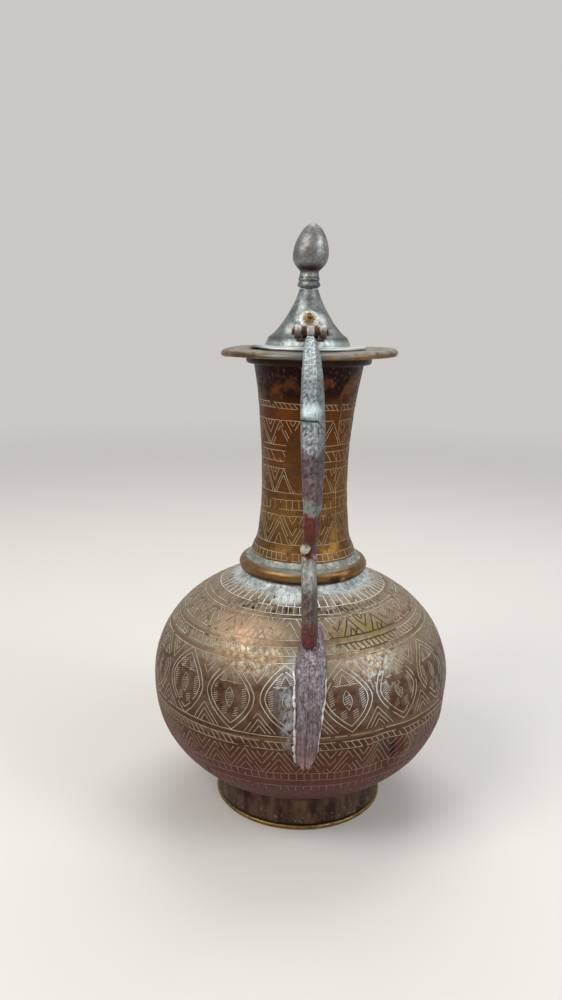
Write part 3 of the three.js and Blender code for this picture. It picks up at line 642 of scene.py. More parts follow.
braze, shader, place, height = start_finish("brass_braze_of_the_seam", 0.6, 0.5)
lumps = mottle(place, 1.4, 0.35, 0.62, 6)
finish_with(shader, blend(lumps, "#7c5f38", "#a98d5f"), relief=[(lumps, 0.05)])

# %% Lime in the engraved lines, and grime in the grooves
packed_lime, shader, place, height = start_finish("lime_packed_in_engraved_lines", 0.0, 0.8)
stained = mottle(place, 8, 0.62, 0.4, 5)
colour = coats(
    blend(mottle(place, 1.2, 0.3, 0.5, 4), "#998c75", "#c0b8a6"), (both(stained, 0.75), "#8c785f"),
)
for clean in ((30, -72, 98), (-8, -78, 104), (0, -45, 131), (-14, -38, 133)):
    colour = coats(colour, (spot(place, clean, (22, 22, 16), 3, 0.3, 0.5), "#dfe3e2"))
low_belly = add_node("ShaderNodeMapRange", height, 82 * MM, 62 * MM, 0, 0.78)
on_neck = add_node("ShaderNodeMapRange", height, 150 * MM, 165 * MM, 0, 0.55)
rays = both(level(height, 131.2, 131.6), level(height, 142, 140), 0.7)
right = both(
    level(add_node("ShaderNodeSeparateXYZ", place).node.outputs["X"], 8, 20),
    level(height, 150, 165), 0.6,
)
colour = coats(
    colour, (rays, "#dfe3e2"), (low_belly, "#6c5044"), (on_neck, "#a38961"), (right, "#8a6439"),
)
finish_with(shader, colour)

groove_grime, shader, place, height = start_finish("grime_in_engraved_grooves", 0.3, 0.7)
black = blend(mottle(place, 5, 0.4, 0.6), "#251b12", "#3a2d1f")
colour = coats(
    blend(level(height, 60, 110), "#3b241c", "#5d4a38"), (level(height, 145, 155), "#402811"),
    (patch(place, (30, -54, 121), (30, 30, 11)), black),
)
finish_with(shader, colour)

# %% [markdown]
# ## Geometry Nodes helpers
#
# A tree of Geometry Nodes is a recipe that can be used again with other sizes. A tree is
# made with named inputs. A piece takes it as a modifier, and when its sizes are set the
# result is turned into a plain mesh, so that nothing is left to calculate afterwards.

# %% Make a tree, use it, and keep the result as a plain mesh
sharp_turn = radians(38)      # an edge that turns more than this stays crisp
weld = 0.001 * MM             # points nearer than this become one
finished = {}                 # every piece's name, with its body, slot and measured nodes


def new_tree(name, **inputs):
    tree = bpy.data.node_groups.new(name, "GeometryNodeTree")
    for label, kind in {"Geometry": "Geometry", **inputs}.items():
        tree.interface.new_socket(label, in_out="INPUT", socket_type="NodeSocket" + kind)
    tree.interface.new_socket("Geometry", in_out="OUTPUT", socket_type="NodeSocketGeometry")
    return tree, tree.nodes.new("NodeGroupInput").outputs


def end_tree(geometry, material=None):
    """Soft faces, crisp edges where the shape turns sharply, one material."""
    tree = geometry.id_data
    edge_angle = add_node("GeometryNodeInputMeshEdgeAngle", tree=tree)
    sharp = add_node("FunctionNodeCompare", edge_angle, sharp_turn, operation="GREATER_THAN")
    soft = add_node("GeometryNodeSetShadeSmooth", geometry, None, True, domain="FACE")
    crisp = add_node("GeometryNodeSetShadeSmooth", soft, sharp, False, domain="EDGE")
    real = add_node("GeometryNodeRealizeInstances", crisp)
    if material:
        real = add_node("GeometryNodeSetMaterial", real, None, material)
    add_node("NodeGroupOutput", real)


def use_tree(piece, tree, **values):
    modifier = piece.modifiers.new(tree.name, "NODES")
    modifier.node_group = tree
    for item in tree.interface.items_tree:
        if item.in_out == "INPUT" and item.name in values:
            modifier[item.identifier] = values[item.name]
    return piece


def as_plain_mesh(piece):
    """The evaluated result becomes the piece's own mesh, and its modifiers go."""
    made = piece.evaluated_get(bpy.context.evaluated_depsgraph_get())
    mesh = bpy.data.meshes.new_from_object(made)
    mesh.name = piece.name
    piece.modifiers.clear()
    piece.data = mesh
    return piece


def drop_helpers(*helpers):
    for helper in helpers:
        bpy.data.objects.remove(helper)


def keep(piece, body, slot, *nodes):
    finished[piece.name] = (piece, body, slot, nodes)
    triangles = sum(len(face.vertices) - 2 for face in piece.data.polygons)
    print(piece.name, triangles, "triangles")


# %% [markdown]
# ## Turned pieces
#
# Body, neck, collar, plate, lid, finial and foot all have the same axis, as if turned on a
# lathe. So one tree makes them: it takes an outline as a row of points, repeats it round
# the axis, joins the ends, and adds the slight unevenness of hand work. The outline runs up
# the outside and down the inside, which makes a closed wall with its faces outwards.

# %% The lathe tree
lathe, given = new_tree(
    "Turned round the axis", Outline="Object", Sides="Int", Unevenness="Float", Wave="Float",
    Seed="Float", Material="Material",
)
outline = add_node("GeometryNodeObjectInfo", given["Outline"]).node.outputs["Geometry"]
count = add_node("GeometryNodeAttributeDomainSize", outline).node.outputs["Point Count"]
columns = add_node("ShaderNodeMath", given["Sides"], 1, operation="ADD")
grid = add_node("GeometryNodeMeshGrid", 1, 1, columns, count)
index = add_node("GeometryNodeInputIndex", tree=lathe)
row, column = (
    add_node("FunctionNodeIntegerMath", index, count, operation=how)
    for how in ("MODULO", "DIVIDE_FLOOR")
)
angle = add_node("ShaderNodeMath", column, given["Sides"], operation="DIVIDE")
angle = add_node("ShaderNodeMath", angle, 2 * pi, operation="MULTIPLY")
position = add_node("GeometryNodeInputPosition", tree=lathe)
point = add_node("GeometryNodeSampleIndex", outline, position, row, data_type="FLOAT_VECTOR")
point = add_node("ShaderNodeVectorRotate", point, None, angle, rotation_type="Z_AXIS")
wall = add_node("GeometryNodeSetPosition", grid, Position=point)
wall = add_node("GeometryNodeMergeByDistance", wall, None, weld)
scale = add_node("ShaderNodeMath", 1, given["Wave"], operation="DIVIDE")
wave = add_node(
    "ShaderNodeTexNoise", position, given["Seed"], scale, 3, 0.5, noise_dimensions="4D"
)
wave = add_node(
    "ShaderNodeVectorMath", wave.node.outputs["Color"], (0.5, 0.5, 0.5), operation="SUBTRACT"
)
wave = add_node("ShaderNodeVectorMath", wave, given["Unevenness"], operation="SCALE")
end_tree(add_node("GeometryNodeSetPosition", wall, Offset=wave), given["Material"])


def turn(name, outline, material, sides=160, unevenness=0.3, wave=12, seed=0.0, knocks=()):
    """An outline of (radius, height) in millimetres, turned into a closed piece."""
    row = new_piece("outline", [(radius, 0, height) for radius, height in outline])
    piece = new_piece(name, [(0, 0, 0)])
    use_tree(
        piece, lathe, Outline=row, Sides=sides, Unevenness=unevenness * MM, Wave=wave * MM,
        Seed=seed, Material=material,
    )
    for centre, reach, push in knocks:
        use_tree(
            piece, knock, Centre=[c * MM for c in centre], Reach=[r * MM for r in reach],
            Push=[p * MM for p in push],
        )
    as_plain_mesh(piece)
    drop_helpers(row)
    return piece


def mix(start, end, share):
    return start + (end - start) * share


def spread(start, end, steps):
    return [mix(start, end, i / steps) for i in range(steps + 1)]


def round_angles(sides, start=0):
    return [2 * pi * (j + start) / sides for j in range(sides)]


def arc(centre, height, radius, half_angle, steps):
    """The outer side of a round, from below to above."""
    return [
        (centre + radius * cos(angle), height + radius * sin(angle))
        for angle in spread(-half_angle, half_angle, steps)
    ]


def closed(outline):
    return [*outline, outline[0]]


def eased(outline, size, steps=3):
    """An outline with each inner corner cut back by a size and rounded."""
    out = [outline[0]]
    for before, corner, after in zip(outline, outline[1:], outline[2:]):
        before, corner, after = Vector(before), Vector(corner), Vector(after)
        cut_in = min(size, (corner - before).length * 0.45)
        cut_out = min(size, (after - corner).length * 0.45)
        start = corner + (before - corner).normalized() * cut_in
        end = corner + (after - corner).normalized() * cut_out
        for i in range(steps + 1):
            t = i / steps
            out.append(tuple((1 - t) ** 2 * start + 2 * t * (1 - t) * corner + t * t * end))
    out.append(outline[-1])
    return out


def rounded(corners, size):
    return closed(eased(closed(corners), size))


# %% [markdown]
# ## Knocks
#
# An old vessel has been dropped. A knock pushes the wall a short way within a given reach,
# most in the middle and softly to nothing at its edge. The same tree makes the dent in the
# belly, the nicks in the plate's edge and the warp of the lid's brim.

# %% The knock tree
knock, given = new_tree("Knock", Centre="Vector", Reach="Vector", Push="Vector")
offset = add_node("GeometryNodeInputPosition", tree=knock)
offset = add_node("ShaderNodeVectorMath", offset, given["Centre"], operation="SUBTRACT")
offset = add_node("ShaderNodeVectorMath", offset, given["Reach"], operation="DIVIDE")
far = add_node("ShaderNodeVectorMath", offset, operation="LENGTH")
force = add_node("ShaderNodeMapRange", far, 1, 0, 0, 1, interpolation_type="SMOOTHSTEP")
push = add_node("ShaderNodeVectorMath", given["Push"], force, operation="SCALE")
end_tree(add_node("GeometryNodeSetPosition", given["Geometry"], Offset=push))
print("trees:", [group.name for group in bpy.data.node_groups])

# %% [markdown]
# ## Body
#
# The body's outline is a squashed ball: a superellipse, a little squarer than an ellipse,
# whose upper half is lower than its lower half. Its wall is 1.2 mm thick. The dent and the
# crease at its lower right are two knocks side by side, one in and one out.

# %% Body
sheet = 1.2
gap = 0.3                     # between soldered neighbours
widest_height = 76
body_radius = 85.5
body_drop = 66
body_rise = 64
roundness = 2.2
mouth_radius = 30.5


def body_radius_at(height):
    span = body_rise if height > widest_height else body_drop
    return body_radius * (1 - (abs(height - widest_height) / span) ** roundness) ** (1 / roundness)


def body_outline(offset, steps):
    """From the lowest point up to the mouth, moved outwards by an offset."""
    power = 2 / roundness
    radius = body_radius + offset
    mouth_angle = acos((mouth_radius / radius) ** (1 / power))
    points = [(0, widest_height - body_drop - offset)]
    for i in range(1, 2 * steps + 1):
        angle = mix(-pi / 2, 0, i / steps) if i <= steps else mouth_angle * (i / steps - 1)
        span = (body_drop if angle < 0 else body_rise) + offset
        rise = copysign(span * abs(sin(angle)) ** power, angle)
        points.append((radius * cos(angle) ** power, widest_height + rise))
    return points


body_outside = body_outline(0, 54)
body = turn(
    "engraved_body", [*body_outside, *reversed(body_outline(-sheet, 30))],
    raised_copper, sides=240, unevenness=0.8, wave=26, seed=1.0,
    knocks=[
        ((43, -73.5, 64), (13, 13, 20), (-1.2, 2, 0)),
        ((53.5, -66, 62), (8, 8, 14), (1, -1.2, 0)),
        ((84, -14, 69), (22, 26, 15), (-1.3, 0, 0)),
        ((-20, -64, 122), (14, 14, 10), (0.2, 0.5, -0.5)),
    ],
)
keep(body, "vessel", "body_copper", "body_bowl", "body_shoulder")

# %% [markdown]
# ## Neck and collar
#
# The neck narrows from the collar to its waist and opens again to the rim, each time as a
# square curve. The collar is most of a circle in section, and its tin fillets are thin
# uneven rings where it meets the neck and the body.

# %% Neck and collar
mouth_height = 136.9
neck_foot_radius = 30.2
neck_waist_radius = 24.1
neck_mouth_radius = 31.4
neck_waist_height = 189.9
neck_top = 261.9
neck_bell = 2.2
bell_top = 161
bell_foot = 143
neck_socket = 5
neck_lean = 1.3               # how far the mouth has been pushed to the right
lean_centre, lean_reach = 258, 48
neck_knock = ((0, 0, lean_centre), (90, 90, lean_reach), (neck_lean, 0, 0))
collar_centre = 32.5
collar_bead = 4.1
collar_height = 142.7


def soft_step(share):
    share = min(max(share, 0), 1)
    return share * share * (3 - 2 * share)


def neck_radius_at(height):
    if height < neck_waist_height:
        share = min((neck_waist_height - height) / (neck_waist_height - mouth_height), 1)
        bell = min(soft_step((bell_top - height) / 12), soft_step((height - bell_foot) / 4))
        plain = neck_waist_radius + (neck_foot_radius - neck_waist_radius) * share ** 2
        return plain + neck_bell * bell
    share = (height - neck_waist_height) / (neck_top - neck_waist_height)
    return neck_waist_radius + (neck_mouth_radius - neck_waist_radius) * share ** 2


neck_heights = [mouth_height - neck_socket, *spread(mouth_height, neck_top, 60)]
neck_outside = [(neck_radius_at(height), height) for height in neck_heights]
neck_inside = [(radius - sheet, height) for radius, height in reversed(neck_outside)]
neck = turn(
    "engraved_neck", closed([*neck_outside, *neck_inside]), rolled_copper,
    sides=144, unevenness=0.5, wave=18, seed=2.0, knocks=[neck_knock],
)
keep(neck, "vessel", "neck_copper", "neck_tube")

collar_edge = acos((mouth_radius + gap - collar_centre) / collar_bead)
collar_outline = arc(collar_centre, collar_height, collar_bead, collar_edge, 22)
keep(turn(
    "neck_collar_ring", closed(collar_outline), rubbed_copper, unevenness=0.7, wave=9, seed=3.0,
    knocks=[
        ((16.5, -33, 141), (5, 4, 3), (-0.4, 0.7, 0)), ((25, -27, 141), (4, 4, 3), (-0.4, 0.4, 0)),
    ],
), "vessel", "collar_copper", "neck_collar")

for name, edge, seed in (
    ("collar_tin_skirt", [
        (29.4, 150.2), (30.5, 149.1), (31, 147.9), (31.8, 147.1), (32.9, 146.9),
        (32.9, 145.9), (30.8, 145.4), (29.2, 146),
    ], 4.0),
    ("collar_tin_fillet", [
        (33, 139.9), (33.9, 138.4), (35.1, 137.1), (36.4, 136.1), (37.8, 135),
        (37.5, 134.5), (33, 136.8), (31.5, 137.4), (31.5, 139.5),
    ], 4.5),
):
    fillet = turn(name, closed(edge), collar_tin, unevenness=0.7, wave=5, seed=seed)
    keep(fillet, "vessel", "collar_copper")

# %% [markdown]
# ## Rim plate and ledge
#
# The plate is a flat disc whose edge is rolled under into a thick round. Its nicks are
# knocks. The ledge under it is a plain ring round the neck's end.

# %% Rim plate and ledge
plate_radius = 48.3
plate_top = 263.8
plate_under = 262.2
plate_edge = 4.6
plate_hole = 27
edge_round = plate_edge / 2
edge_inside = plate_radius - 2.3 * edge_round
rolled = arc(plate_radius - edge_round, plate_top - edge_round, edge_round, pi / 2, 12)
plate_outline = rounded([
    (edge_inside, plate_top - plate_edge + 0.2), *rolled,
    (plate_hole, plate_top), (plate_hole, plate_under), (edge_inside - 1, plate_under),
], 0.4)
keep(turn(
    "rim_plate_rolled", plate_outline, plate_brass, sides=200, unevenness=0.5, wave=14, seed=5.0,
    knocks=[
        ((-29, -38.5, 261), (3, 3, 3), (0.5, 0.7, 0.2)),
        ((22, -43, 260), (4, 3, 2.4), (-0.2, 0.6, 0.3)),
        ((40, -27, 262), (3, 3, 3), (-0.5, 0.4, 0)),
        ((-46, 8, 261), (4, 5, 3), (0.6, 0, 0)),
        ((20, 44, 261), (4, 4, 3), (-0.3, -0.6, 0)),
        ((-47, 0, 261), (17, 60, 9), (1, 0, -1.1)),
        ((47, 0, 261), (17, 60, 9), (1, 0, 1.2)),
        ((34, -34, 262), (24, 22, 8), (0, 0, 0.9)),
        ((10, -30, 258.2), (140, 80, 3.4), (0, 0, 2)),
    ],
), "vessel", "plate_brass", "rim_plate")

ledge_foot = neck_top - 5.8
ledge_radius = 34.5
ledge_inside = neck_mouth_radius + gap
ledge_outline = rounded([
    (ledge_inside, ledge_foot), (ledge_radius - 0.6, ledge_foot),
    (ledge_radius, ledge_foot + 1.2), (ledge_radius, neck_top), (ledge_inside, neck_top),
], 0.5)
keep(turn(
    "mouth_ledge_ring", ledge_outline, plate_brass, sides=120, unevenness=0.4, wave=8, seed=6.0,
    knocks=[neck_knock],
), "vessel", "plate_brass", "mouth_ledge")

# %% [markdown]
# ## Lid and finial
#
# The lid is one skin: a flat brim, a low step and a cone that sweeps in as it rises. Its
# brim is a little warped at the left. A ring under it drops into the mouth and keeps it in
# place. The cast finial is a closed bud on a grooved collar.

# %% Lid
lid_under = 264.1
lid_radius = 32
brim_top = 265.4
step_radius = 23.3
step_top_radius = 21.6
cone_foot = 270
cone_radius = 19.4
cone_top_radius = 5.2
cone_top = 295.5
cone_sweep = 1.35
cone_flare = 2.2
tang_radius = 2.3


def cone_radius_at(height):
    share = min(max((cone_top - height) / (cone_top - cone_foot), 0), 1)
    return mix(cone_top_radius, cone_radius, share ** cone_sweep) + cone_flare * share ** 10


cone_outside = [(cone_radius_at(h), h) for h in spread(cone_foot + 0.1, cone_top, 36)]
cone_inside = [(r - sheet, min(h, cone_top - sheet)) for r, h in reversed(cone_outside)]
step_outline = eased([
    (lid_radius - 0.5, lid_under), (lid_radius, lid_under + 0.5),
    (lid_radius - 0.2, brim_top), (step_radius, brim_top), (step_radius - 0.1, brim_top + 0.9),
    (step_top_radius + 0.1, cone_foot - 0.4), cone_outside[0],
], 0.35)
lid_outline = closed([
    *step_outline, *cone_outside[1:], (tang_radius, cone_top), (tang_radius, cone_top - sheet),
    *cone_inside, (step_top_radius - sheet, cone_foot - sheet), (step_radius - sheet, lid_under),
])
lid = turn(
    "lid_cone", lid_outline, tinned_lid, unevenness=0.5, wave=8, seed=7.0,
    knocks=[
        ((-27, -14, 265), (13, 16, 3), (0, 0, 0.9)),
        ((12, -12, 279), (6, 6, 8), (-0.4, 0.4, 0)),
        ((-14, 10, 274), (8, 8, 8), (0.5, -0.4, 0)),
    ],
)
keep(lid, "lid", "tinned_lid", "lid_cover")

bezel_radius = 26.4
bezel_foot_radius = bezel_radius - 1.16
bezel_foot = lid_under - 4.6
bezel_outline = rounded([
    (bezel_foot_radius, bezel_foot), (bezel_radius, lid_under - gap),
    (bezel_radius - sheet, lid_under - gap), (bezel_foot_radius - sheet, bezel_foot),
], 0.3)
bezel = turn("lid_locating_ring", bezel_outline, tinned_lid, sides=120, unevenness=0.2, seed=8.0)
keep(bezel, "lid", "tinned_lid", "lid_bezel")

# %% Finial
finial_foot = cone_top + gap
finial_top = 301.5
finial_steps = [
    (4.9, 0), (4.9, 0.6), (6.1, 1), (6.1, 2.3), (5.75, 3.3), (5.3, 3.7), (5.3, 4), (5.75, 4.4),
]
finial_outline = rounded([
    (tang_radius, finial_foot), *[(r, finial_foot + h) for r, h in finial_steps],
    (5.6, finial_top), (tang_radius, finial_top),
], 0.25)
keep(turn(
    "finial_collar_ring", finial_outline, tinned_lid, sides=72, unevenness=0.35, wave=3, seed=9.0,
), "lid", "tinned_lid", "finial_collar")

bud_foot = 301.55
bud_top = 329.8
bud_shape = [
    (5.55, 0), (5.3, 0.03), (4.95, 0.08), (5.1, 0.12), (6.4, 0.16), (7.9, 0.22), (9.1, 0.29),
    (9.65, 0.37), (9.7, 0.44), (9.35, 0.53), (8.7, 0.63), (7.6, 0.73), (6.1, 0.83), (4.4, 0.91),
    (2.6, 0.965), (1.1, 0.99), (0, 1),
]
bud_outline = [(0, cone_top - 6), (2, cone_top - 6), (2, bud_foot)]
bud_outline += [(radius, mix(bud_foot, bud_top, share)) for radius, share in bud_shape]
keep(turn(
    "finial_bud_cast", eased(bud_outline, 1, 2), tinned_lid, sides=96, unevenness=0.5, wave=5,
    seed=10.0, knocks=[((0, 0, 332), (60, 60, 34), (1.6, 0, 0))],
), "lid", "tinned_lid", "finial_bud")

rove_outline = closed([(2.3, 292.6), (3.1, 292.6), (3.1, 293.9), (2.3, 293.9)])
rove = turn("finial_rove_ring", rove_outline, trim_brass, sides=40, unevenness=0.1, seed=11.0)
keep(rove, "lid", "trim_brass", "finial_rove")

# %% [markdown]
# ## Foot
#
# The foot is a low ring of sheet with a wire bead round its lower edge. The ring stands
# slightly out of true, as hand-bent sheet does.

# %% Foot
foot_radius = 48.6
foot_taper = 0.8
foot_wall = 1.6
wire = 1.3
foot_bottom = 2 * wire + gap
foot_top = 18.08
foot_outline = rounded([
    (foot_radius - foot_wall, foot_bottom), (foot_radius, foot_bottom), (foot_radius - 0.3, 8),
    (foot_radius - foot_taper, foot_top), (foot_radius - foot_taper - foot_wall, foot_top),
], 0.3)
keep(turn(
    "foot_ring_sheet", foot_outline, foot_sheet, sides=200, unevenness=0.8, wave=20, seed=12.0,
), "vessel", "foot_copper", "foot_ring")

wire_outline = closed([
    *arc(foot_radius - 0.5 * wire, wire, wire, pi / 2, 8),
    (foot_radius - foot_wall, 2 * wire), (foot_radius - foot_wall, 0),
])
keep(turn(
    "foot_wire_bead", wire_outline, trim_brass, sides=200, seed=13.0,
), "vessel", "trim_brass", "foot_wire")

# %% [markdown]
# ## Cast skin
#
# Sand leaves its mark on a casting: a soft pebbled surface, and edges that are never sharp.
# A cast piece is first joined from simple forms and remeshed with small cubes, which rounds
# its edges and fillets its corners. Then this tree moves each point a little along its
# normal, by a noise with coarse and fine grain in it.

# %% The cast skin tree
def lumped(geometry, seed, scale, strength, detail, roughness):
    """Every point moved along its normal by a noise."""
    tree = geometry.id_data
    place = add_node("GeometryNodeInputPosition", tree=tree)
    normal = add_node("GeometryNodeInputNormal", tree=tree)
    noise = add_node(
        "ShaderNodeTexNoise", place, seed, scale, detail, roughness, noise_dimensions="4D"
    )
    amount = add_node("ShaderNodeMath", noise, 0.5, operation="SUBTRACT")
    amount = add_node("ShaderNodeMath", amount, strength, operation="MULTIPLY")
    offset = add_node("ShaderNodeVectorMath", normal, amount, operation="SCALE")
    return add_node("GeometryNodeSetPosition", geometry, Offset=offset)


cast_skin, given = new_tree(
    "Cast skin", Relief="Float", Grain="Float", Seed="Float", Material="Material"
)
scale = add_node("ShaderNodeMath", 1, given["Grain"], operation="DIVIDE")
pebbled = lumped(given["Geometry"], given["Seed"], scale, given["Relief"], 4, 0.62)
end_tree(pebbled, given["Material"])


def give_cast_skin(piece, material, relief, grain, seed):
    use_tree(
        piece, cast_skin, Relief=relief * MM, Grain=grain * MM, Seed=seed, Material=material
    )
    return as_plain_mesh(piece)


def cast(piece, material, cube, relief, grain, seed, smooth=2):
    """Joins a piece's solids, rounds its edges and gives it a cast skin."""
    cubes = piece.modifiers.new("Joined and rounded", "REMESH")
    cubes.mode = "VOXEL"
    cubes.voxel_size = cube * MM
    eased_edges = piece.modifiers.new("Eased", "SMOOTH")
    eased_edges.factor = 0.5
    eased_edges.iterations = smooth
    return give_cast_skin(piece, material, relief, grain, seed)


def loft(rings, loop=False):
    """Points and faces of a skin over rings of equal counts, closed at its ends."""
    count = len(rings[0])
    points = [point for ring in rings for point in ring]
    faces = []
    for i in range(len(rings) if loop else len(rings) - 1):
        for j in range(count):
            here, there = i * count, (i + 1) % len(rings) * count
            k = (j + 1) % count
            faces.append((here + j, here + k, there + k, there + j))
    if not loop:
        faces.append(tuple(reversed(range(count))))
        faces.append(tuple(range(len(points) - count, len(points))))
    return points, faces


def joined(name, parts):
    """One mesh from several (points, faces) parts."""
    points, faces = [], []
    for part_points, part_faces in parts:
        start = len(points)
        points += part_points
        faces += [tuple(start + corner for corner in face) for face in part_faces]
    return new_piece(name, points, faces)


def curve_point(points, share):
    """A point of the smooth curve through a row of points."""
    last = len(points) - 1
    i = min(int(share * last), last - 1)
    t = share * last - i
    a, b = points[i], points[i + 1]
    before = points[i - 1] if i else 2 * a - b
    after = points[i + 2] if i + 2 <= last else 2 * b - a
    middle = (b - a).length ** 0.5 or 1
    first = (a - before).length ** 0.5 or middle
    third = (after - b).length ** 0.5 or middle
    leave = (a - before) / first - (b - before) / (first + middle) + (b - a) / middle
    arrive = (b - a) / middle - (after - a) / (middle + third) + (after - b) / third
    leave, arrive = leave * middle, arrive * middle
    return (
        a + t * leave + t ** 2 * (3 * (b - a) - 2 * leave - arrive)
        + t ** 3 * (2 * (a - b) + leave + arrive)
    )


def curve_direction(points, share):
    step = 0.0005
    ahead, behind = min(share + step, 1), max(share - step, 0)
    return (curve_point(points, ahead) - curve_point(points, behind)).normalized()


def off_belly(height, lift):
    """(radius, height) of the belly's outline, moved out square to it."""
    lean = body_radius_at(height - 0.5) - body_radius_at(height + 0.5)
    return Vector((body_radius_at(height), height)) + lift * Vector((1, lean)).normalized()


to_right = Vector((1, 0, 0))

# %% [markdown]
# ## Handle
#
# The handle is one sand casting: a hook over the plate's edge, a flat-faced grip down to the
# knee, a return to a small nub, and a scroll that ends on the leaf. Its section is a flat
# face between two bevels, with a rounded back. The section is carried along a smooth curve
# and turned slightly, so that its right bevel shows more. The crack across the face is a
# groove where the casting cooled unevenly.

# %% Handle
lid_reach = 32
hinge_height = 273.9
handle_reach = 101
handle_turn = 16
knee_height = 193.8
nub_height = 169.8
crack_height = 235.2
crack_depth = 0.9
crack_width = 0.55
head_reach = 37.2
hook_clear = 53.15
leaf_thickness = 2.2
scroll_lean = 1.3             # how far the scroll's end lies to the right
over_leaf = 134               # the height under which the scroll keeps clear of the leaf
tip_reach, tip_height = off_belly(118.5, leaf_thickness + 2 * gap + 3)
scroll = nub_height - tip_height

handle_rows = [               # reach, height, width, depth
    (head_reach, 266.0, 5, 5),
    (head_reach + 1, 269.3, 5, 5),
    (mix(head_reach, hook_clear, 0.55), 268.4, 6.5, 5.4),
    (hook_clear + 1, 263.3, 8.6, 6.6),
    (mix(hook_clear, handle_reach, 0.3), 251.8, 10.6, 7.5),
    (mix(hook_clear, handle_reach, 0.56), 236.8, 11.5, 7.5),
    (mix(hook_clear, handle_reach, 0.77), 220.8, 11, 7.5),
    (mix(hook_clear, handle_reach, 0.9), 205.8, 9.4, 7.2),
    (handle_reach - 3.6, knee_height + 1, 8.2, 6.8),
    (handle_reach - 6, knee_height - 7, 7.8, 6.2),
    (mix(tip_reach, handle_reach, 0.55), knee_height - 13, 7.6, 5.6),
    (tip_reach + 3, nub_height + 5.5, 7.4, 5.2),
    (tip_reach - 1.5, nub_height - 0.5, 7, 5),
    (tip_reach + 1.8, nub_height - 0.16 * scroll, 7.2, 5.6),
    (tip_reach + 6, nub_height - 0.38 * scroll, 7.8, 6.4),
    (tip_reach + 5.6, nub_height - 0.66 * scroll, 8, 6.6),
    (tip_reach + 1.8, nub_height - 0.92 * scroll, 8.2, 6),
    (tip_reach - 0.2, tip_height - 3.2, 7.4, 4.2),
]
handle_line = [
    Vector((scroll_lean * soft_step((nub_height - height) / scroll), -reach, height))
    for reach, height, _, _ in handle_rows
]
handle_sizes = [Vector((width, depth, 0)) for _, _, width, depth in handle_rows]
corners = [                   # across and outwards, as shares of half width and half depth
    (1, -0.3), (1, 0.1), (0.51, 1), (-0.71, 1), (-1, 0.35), (-1, -0.3), (-0.6, -1), (0.6, -1),
]
section = eased(corners + corners[:2], 0.16, 2)[1:-1]


def handle_ring(share):
    place = curve_point(handle_line, share)
    along = Vector((0, 0, 1)) if share == 0 else curve_direction(handle_line, share)
    across = along.cross(to_right).normalized()
    half = curve_point(handle_sizes, share) / 2
    turned = radians(handle_turn) * sin(pi * share)
    ring = []
    for x, y in section:
        x, y = x * half.x, y * half.y
        if y > 0 and share < 0.6:
            y -= crack_depth * exp(-((place.z - crack_height - 0.25 * x) / crack_width) ** 2)
        sideways = x * cos(turned) - y * sin(turned)
        outwards = x * sin(turned) + y * cos(turned)
        point = place + sideways * to_right + outwards * across
        reach = hypot(point.x, point.y)
        clear = off_belly(point.z, 2 * gap + leaf_thickness).x if point.z < over_leaf else 0
        if reach < clear:
            point.x, point.y = point.x * clear / reach, point.y * clear / reach
        ring.append(point)
    return ring


def ball(centre, radius, rings=12, sides=20):
    """A closed ball as points and faces."""
    mesh = bmesh.new()
    bmesh.ops.create_uvsphere(mesh, u_segments=sides, v_segments=rings, radius=radius)
    points = [vertex.co + Vector(centre) for vertex in mesh.verts]
    faces = [tuple(vertex.index for vertex in face.verts) for face in mesh.faces]
    mesh.free()
    return points, faces


handle = joined("handle_cast", [
    loft([handle_ring(share) for share in spread(0, 1, 260)]),
    ball((-2.1, -tip_reach - 3, nub_height + 1.4), 2.5),
])
cast(handle, tinned_casting, cube=0.33, relief=0.8, grain=2.8, seed=20.0, smooth=1)
keep(handle, "vessel", "tinned_casting", "handle_casting")

# %% [markdown]
# ## Leaf and its solder
#
# The leaf is a thin plate, bent to the belly and soldered down. It has shallow grooves that
# close up towards its worn lower end. Solder was run along both sides, so two lumpy beads
# follow its edges. A tree makes such a run along any row of points: it sweeps a round
# section whose size changes at random, and gives it a lumpy skin.

# %% Leaf
leaf_top = 126
leaf_bottom = 60.5
leaf_width = 15.7
leaf_offset = 3.2             # how far its upper end lies to the right
leaf_drift = 3.2              # how far its lower end lies to the left from there
leaf_spans = 26
leaf_rows = 90


def leaf_half_width(share):
    body_taper = mix(1, 0.6, max(share - 0.25, 0) / 0.75)
    crown = min(1, sqrt(share / 0.22) * 0.6 + 0.4)
    tail = sqrt(max(1 - max(share - 0.95, 0) / 0.05, 0)) * 0.3 + 0.7
    worn = 1 + 0.03 * sin(share * 31) + 0.02 * sin(share * 67 + 1)
    return leaf_width / 2 * body_taper * crown * tail * worn


def leaf_point(share, side, lift=gap):
    radius, height = off_belly(mix(leaf_top, leaf_bottom, share), lift)
    ragged = 0.8 * sin(side * 7 + 1) * max(share - 0.9, 0) / 0.1
    angle = (leaf_half_width(share) * side + leaf_offset - leaf_drift * share) / radius
    return Vector((radius * sin(angle), -radius * cos(angle), height + ragged))


def leaf_lift(share, side):
    groove = max(cos(side * pi * 2.3 + 0.4), 0) ** 4
    edge = 1 - 0.35 * side ** 4 - 0.5 * max(abs(side) - 0.9, 0) / 0.1
    return gap + leaf_thickness * edge - 0.8 * groove * min(share * 4, 1)


leaf_sides = spread(1, -1, leaf_spans)
leaf_rings = []
for share in spread(0, 1, leaf_rows):
    top = [leaf_point(share, side, leaf_lift(share, side)) for side in leaf_sides]
    under = [leaf_point(share, side) for side in reversed(leaf_sides)]
    leaf_rings.append(top + under)
leaf = new_piece("handle_leaf_plate", *loft(leaf_rings))
give_cast_skin(leaf, tinned_leaf, relief=0.45, grain=2.4, seed=21.0)
keep(leaf, "vessel", "tinned_casting", "handle_leaf")

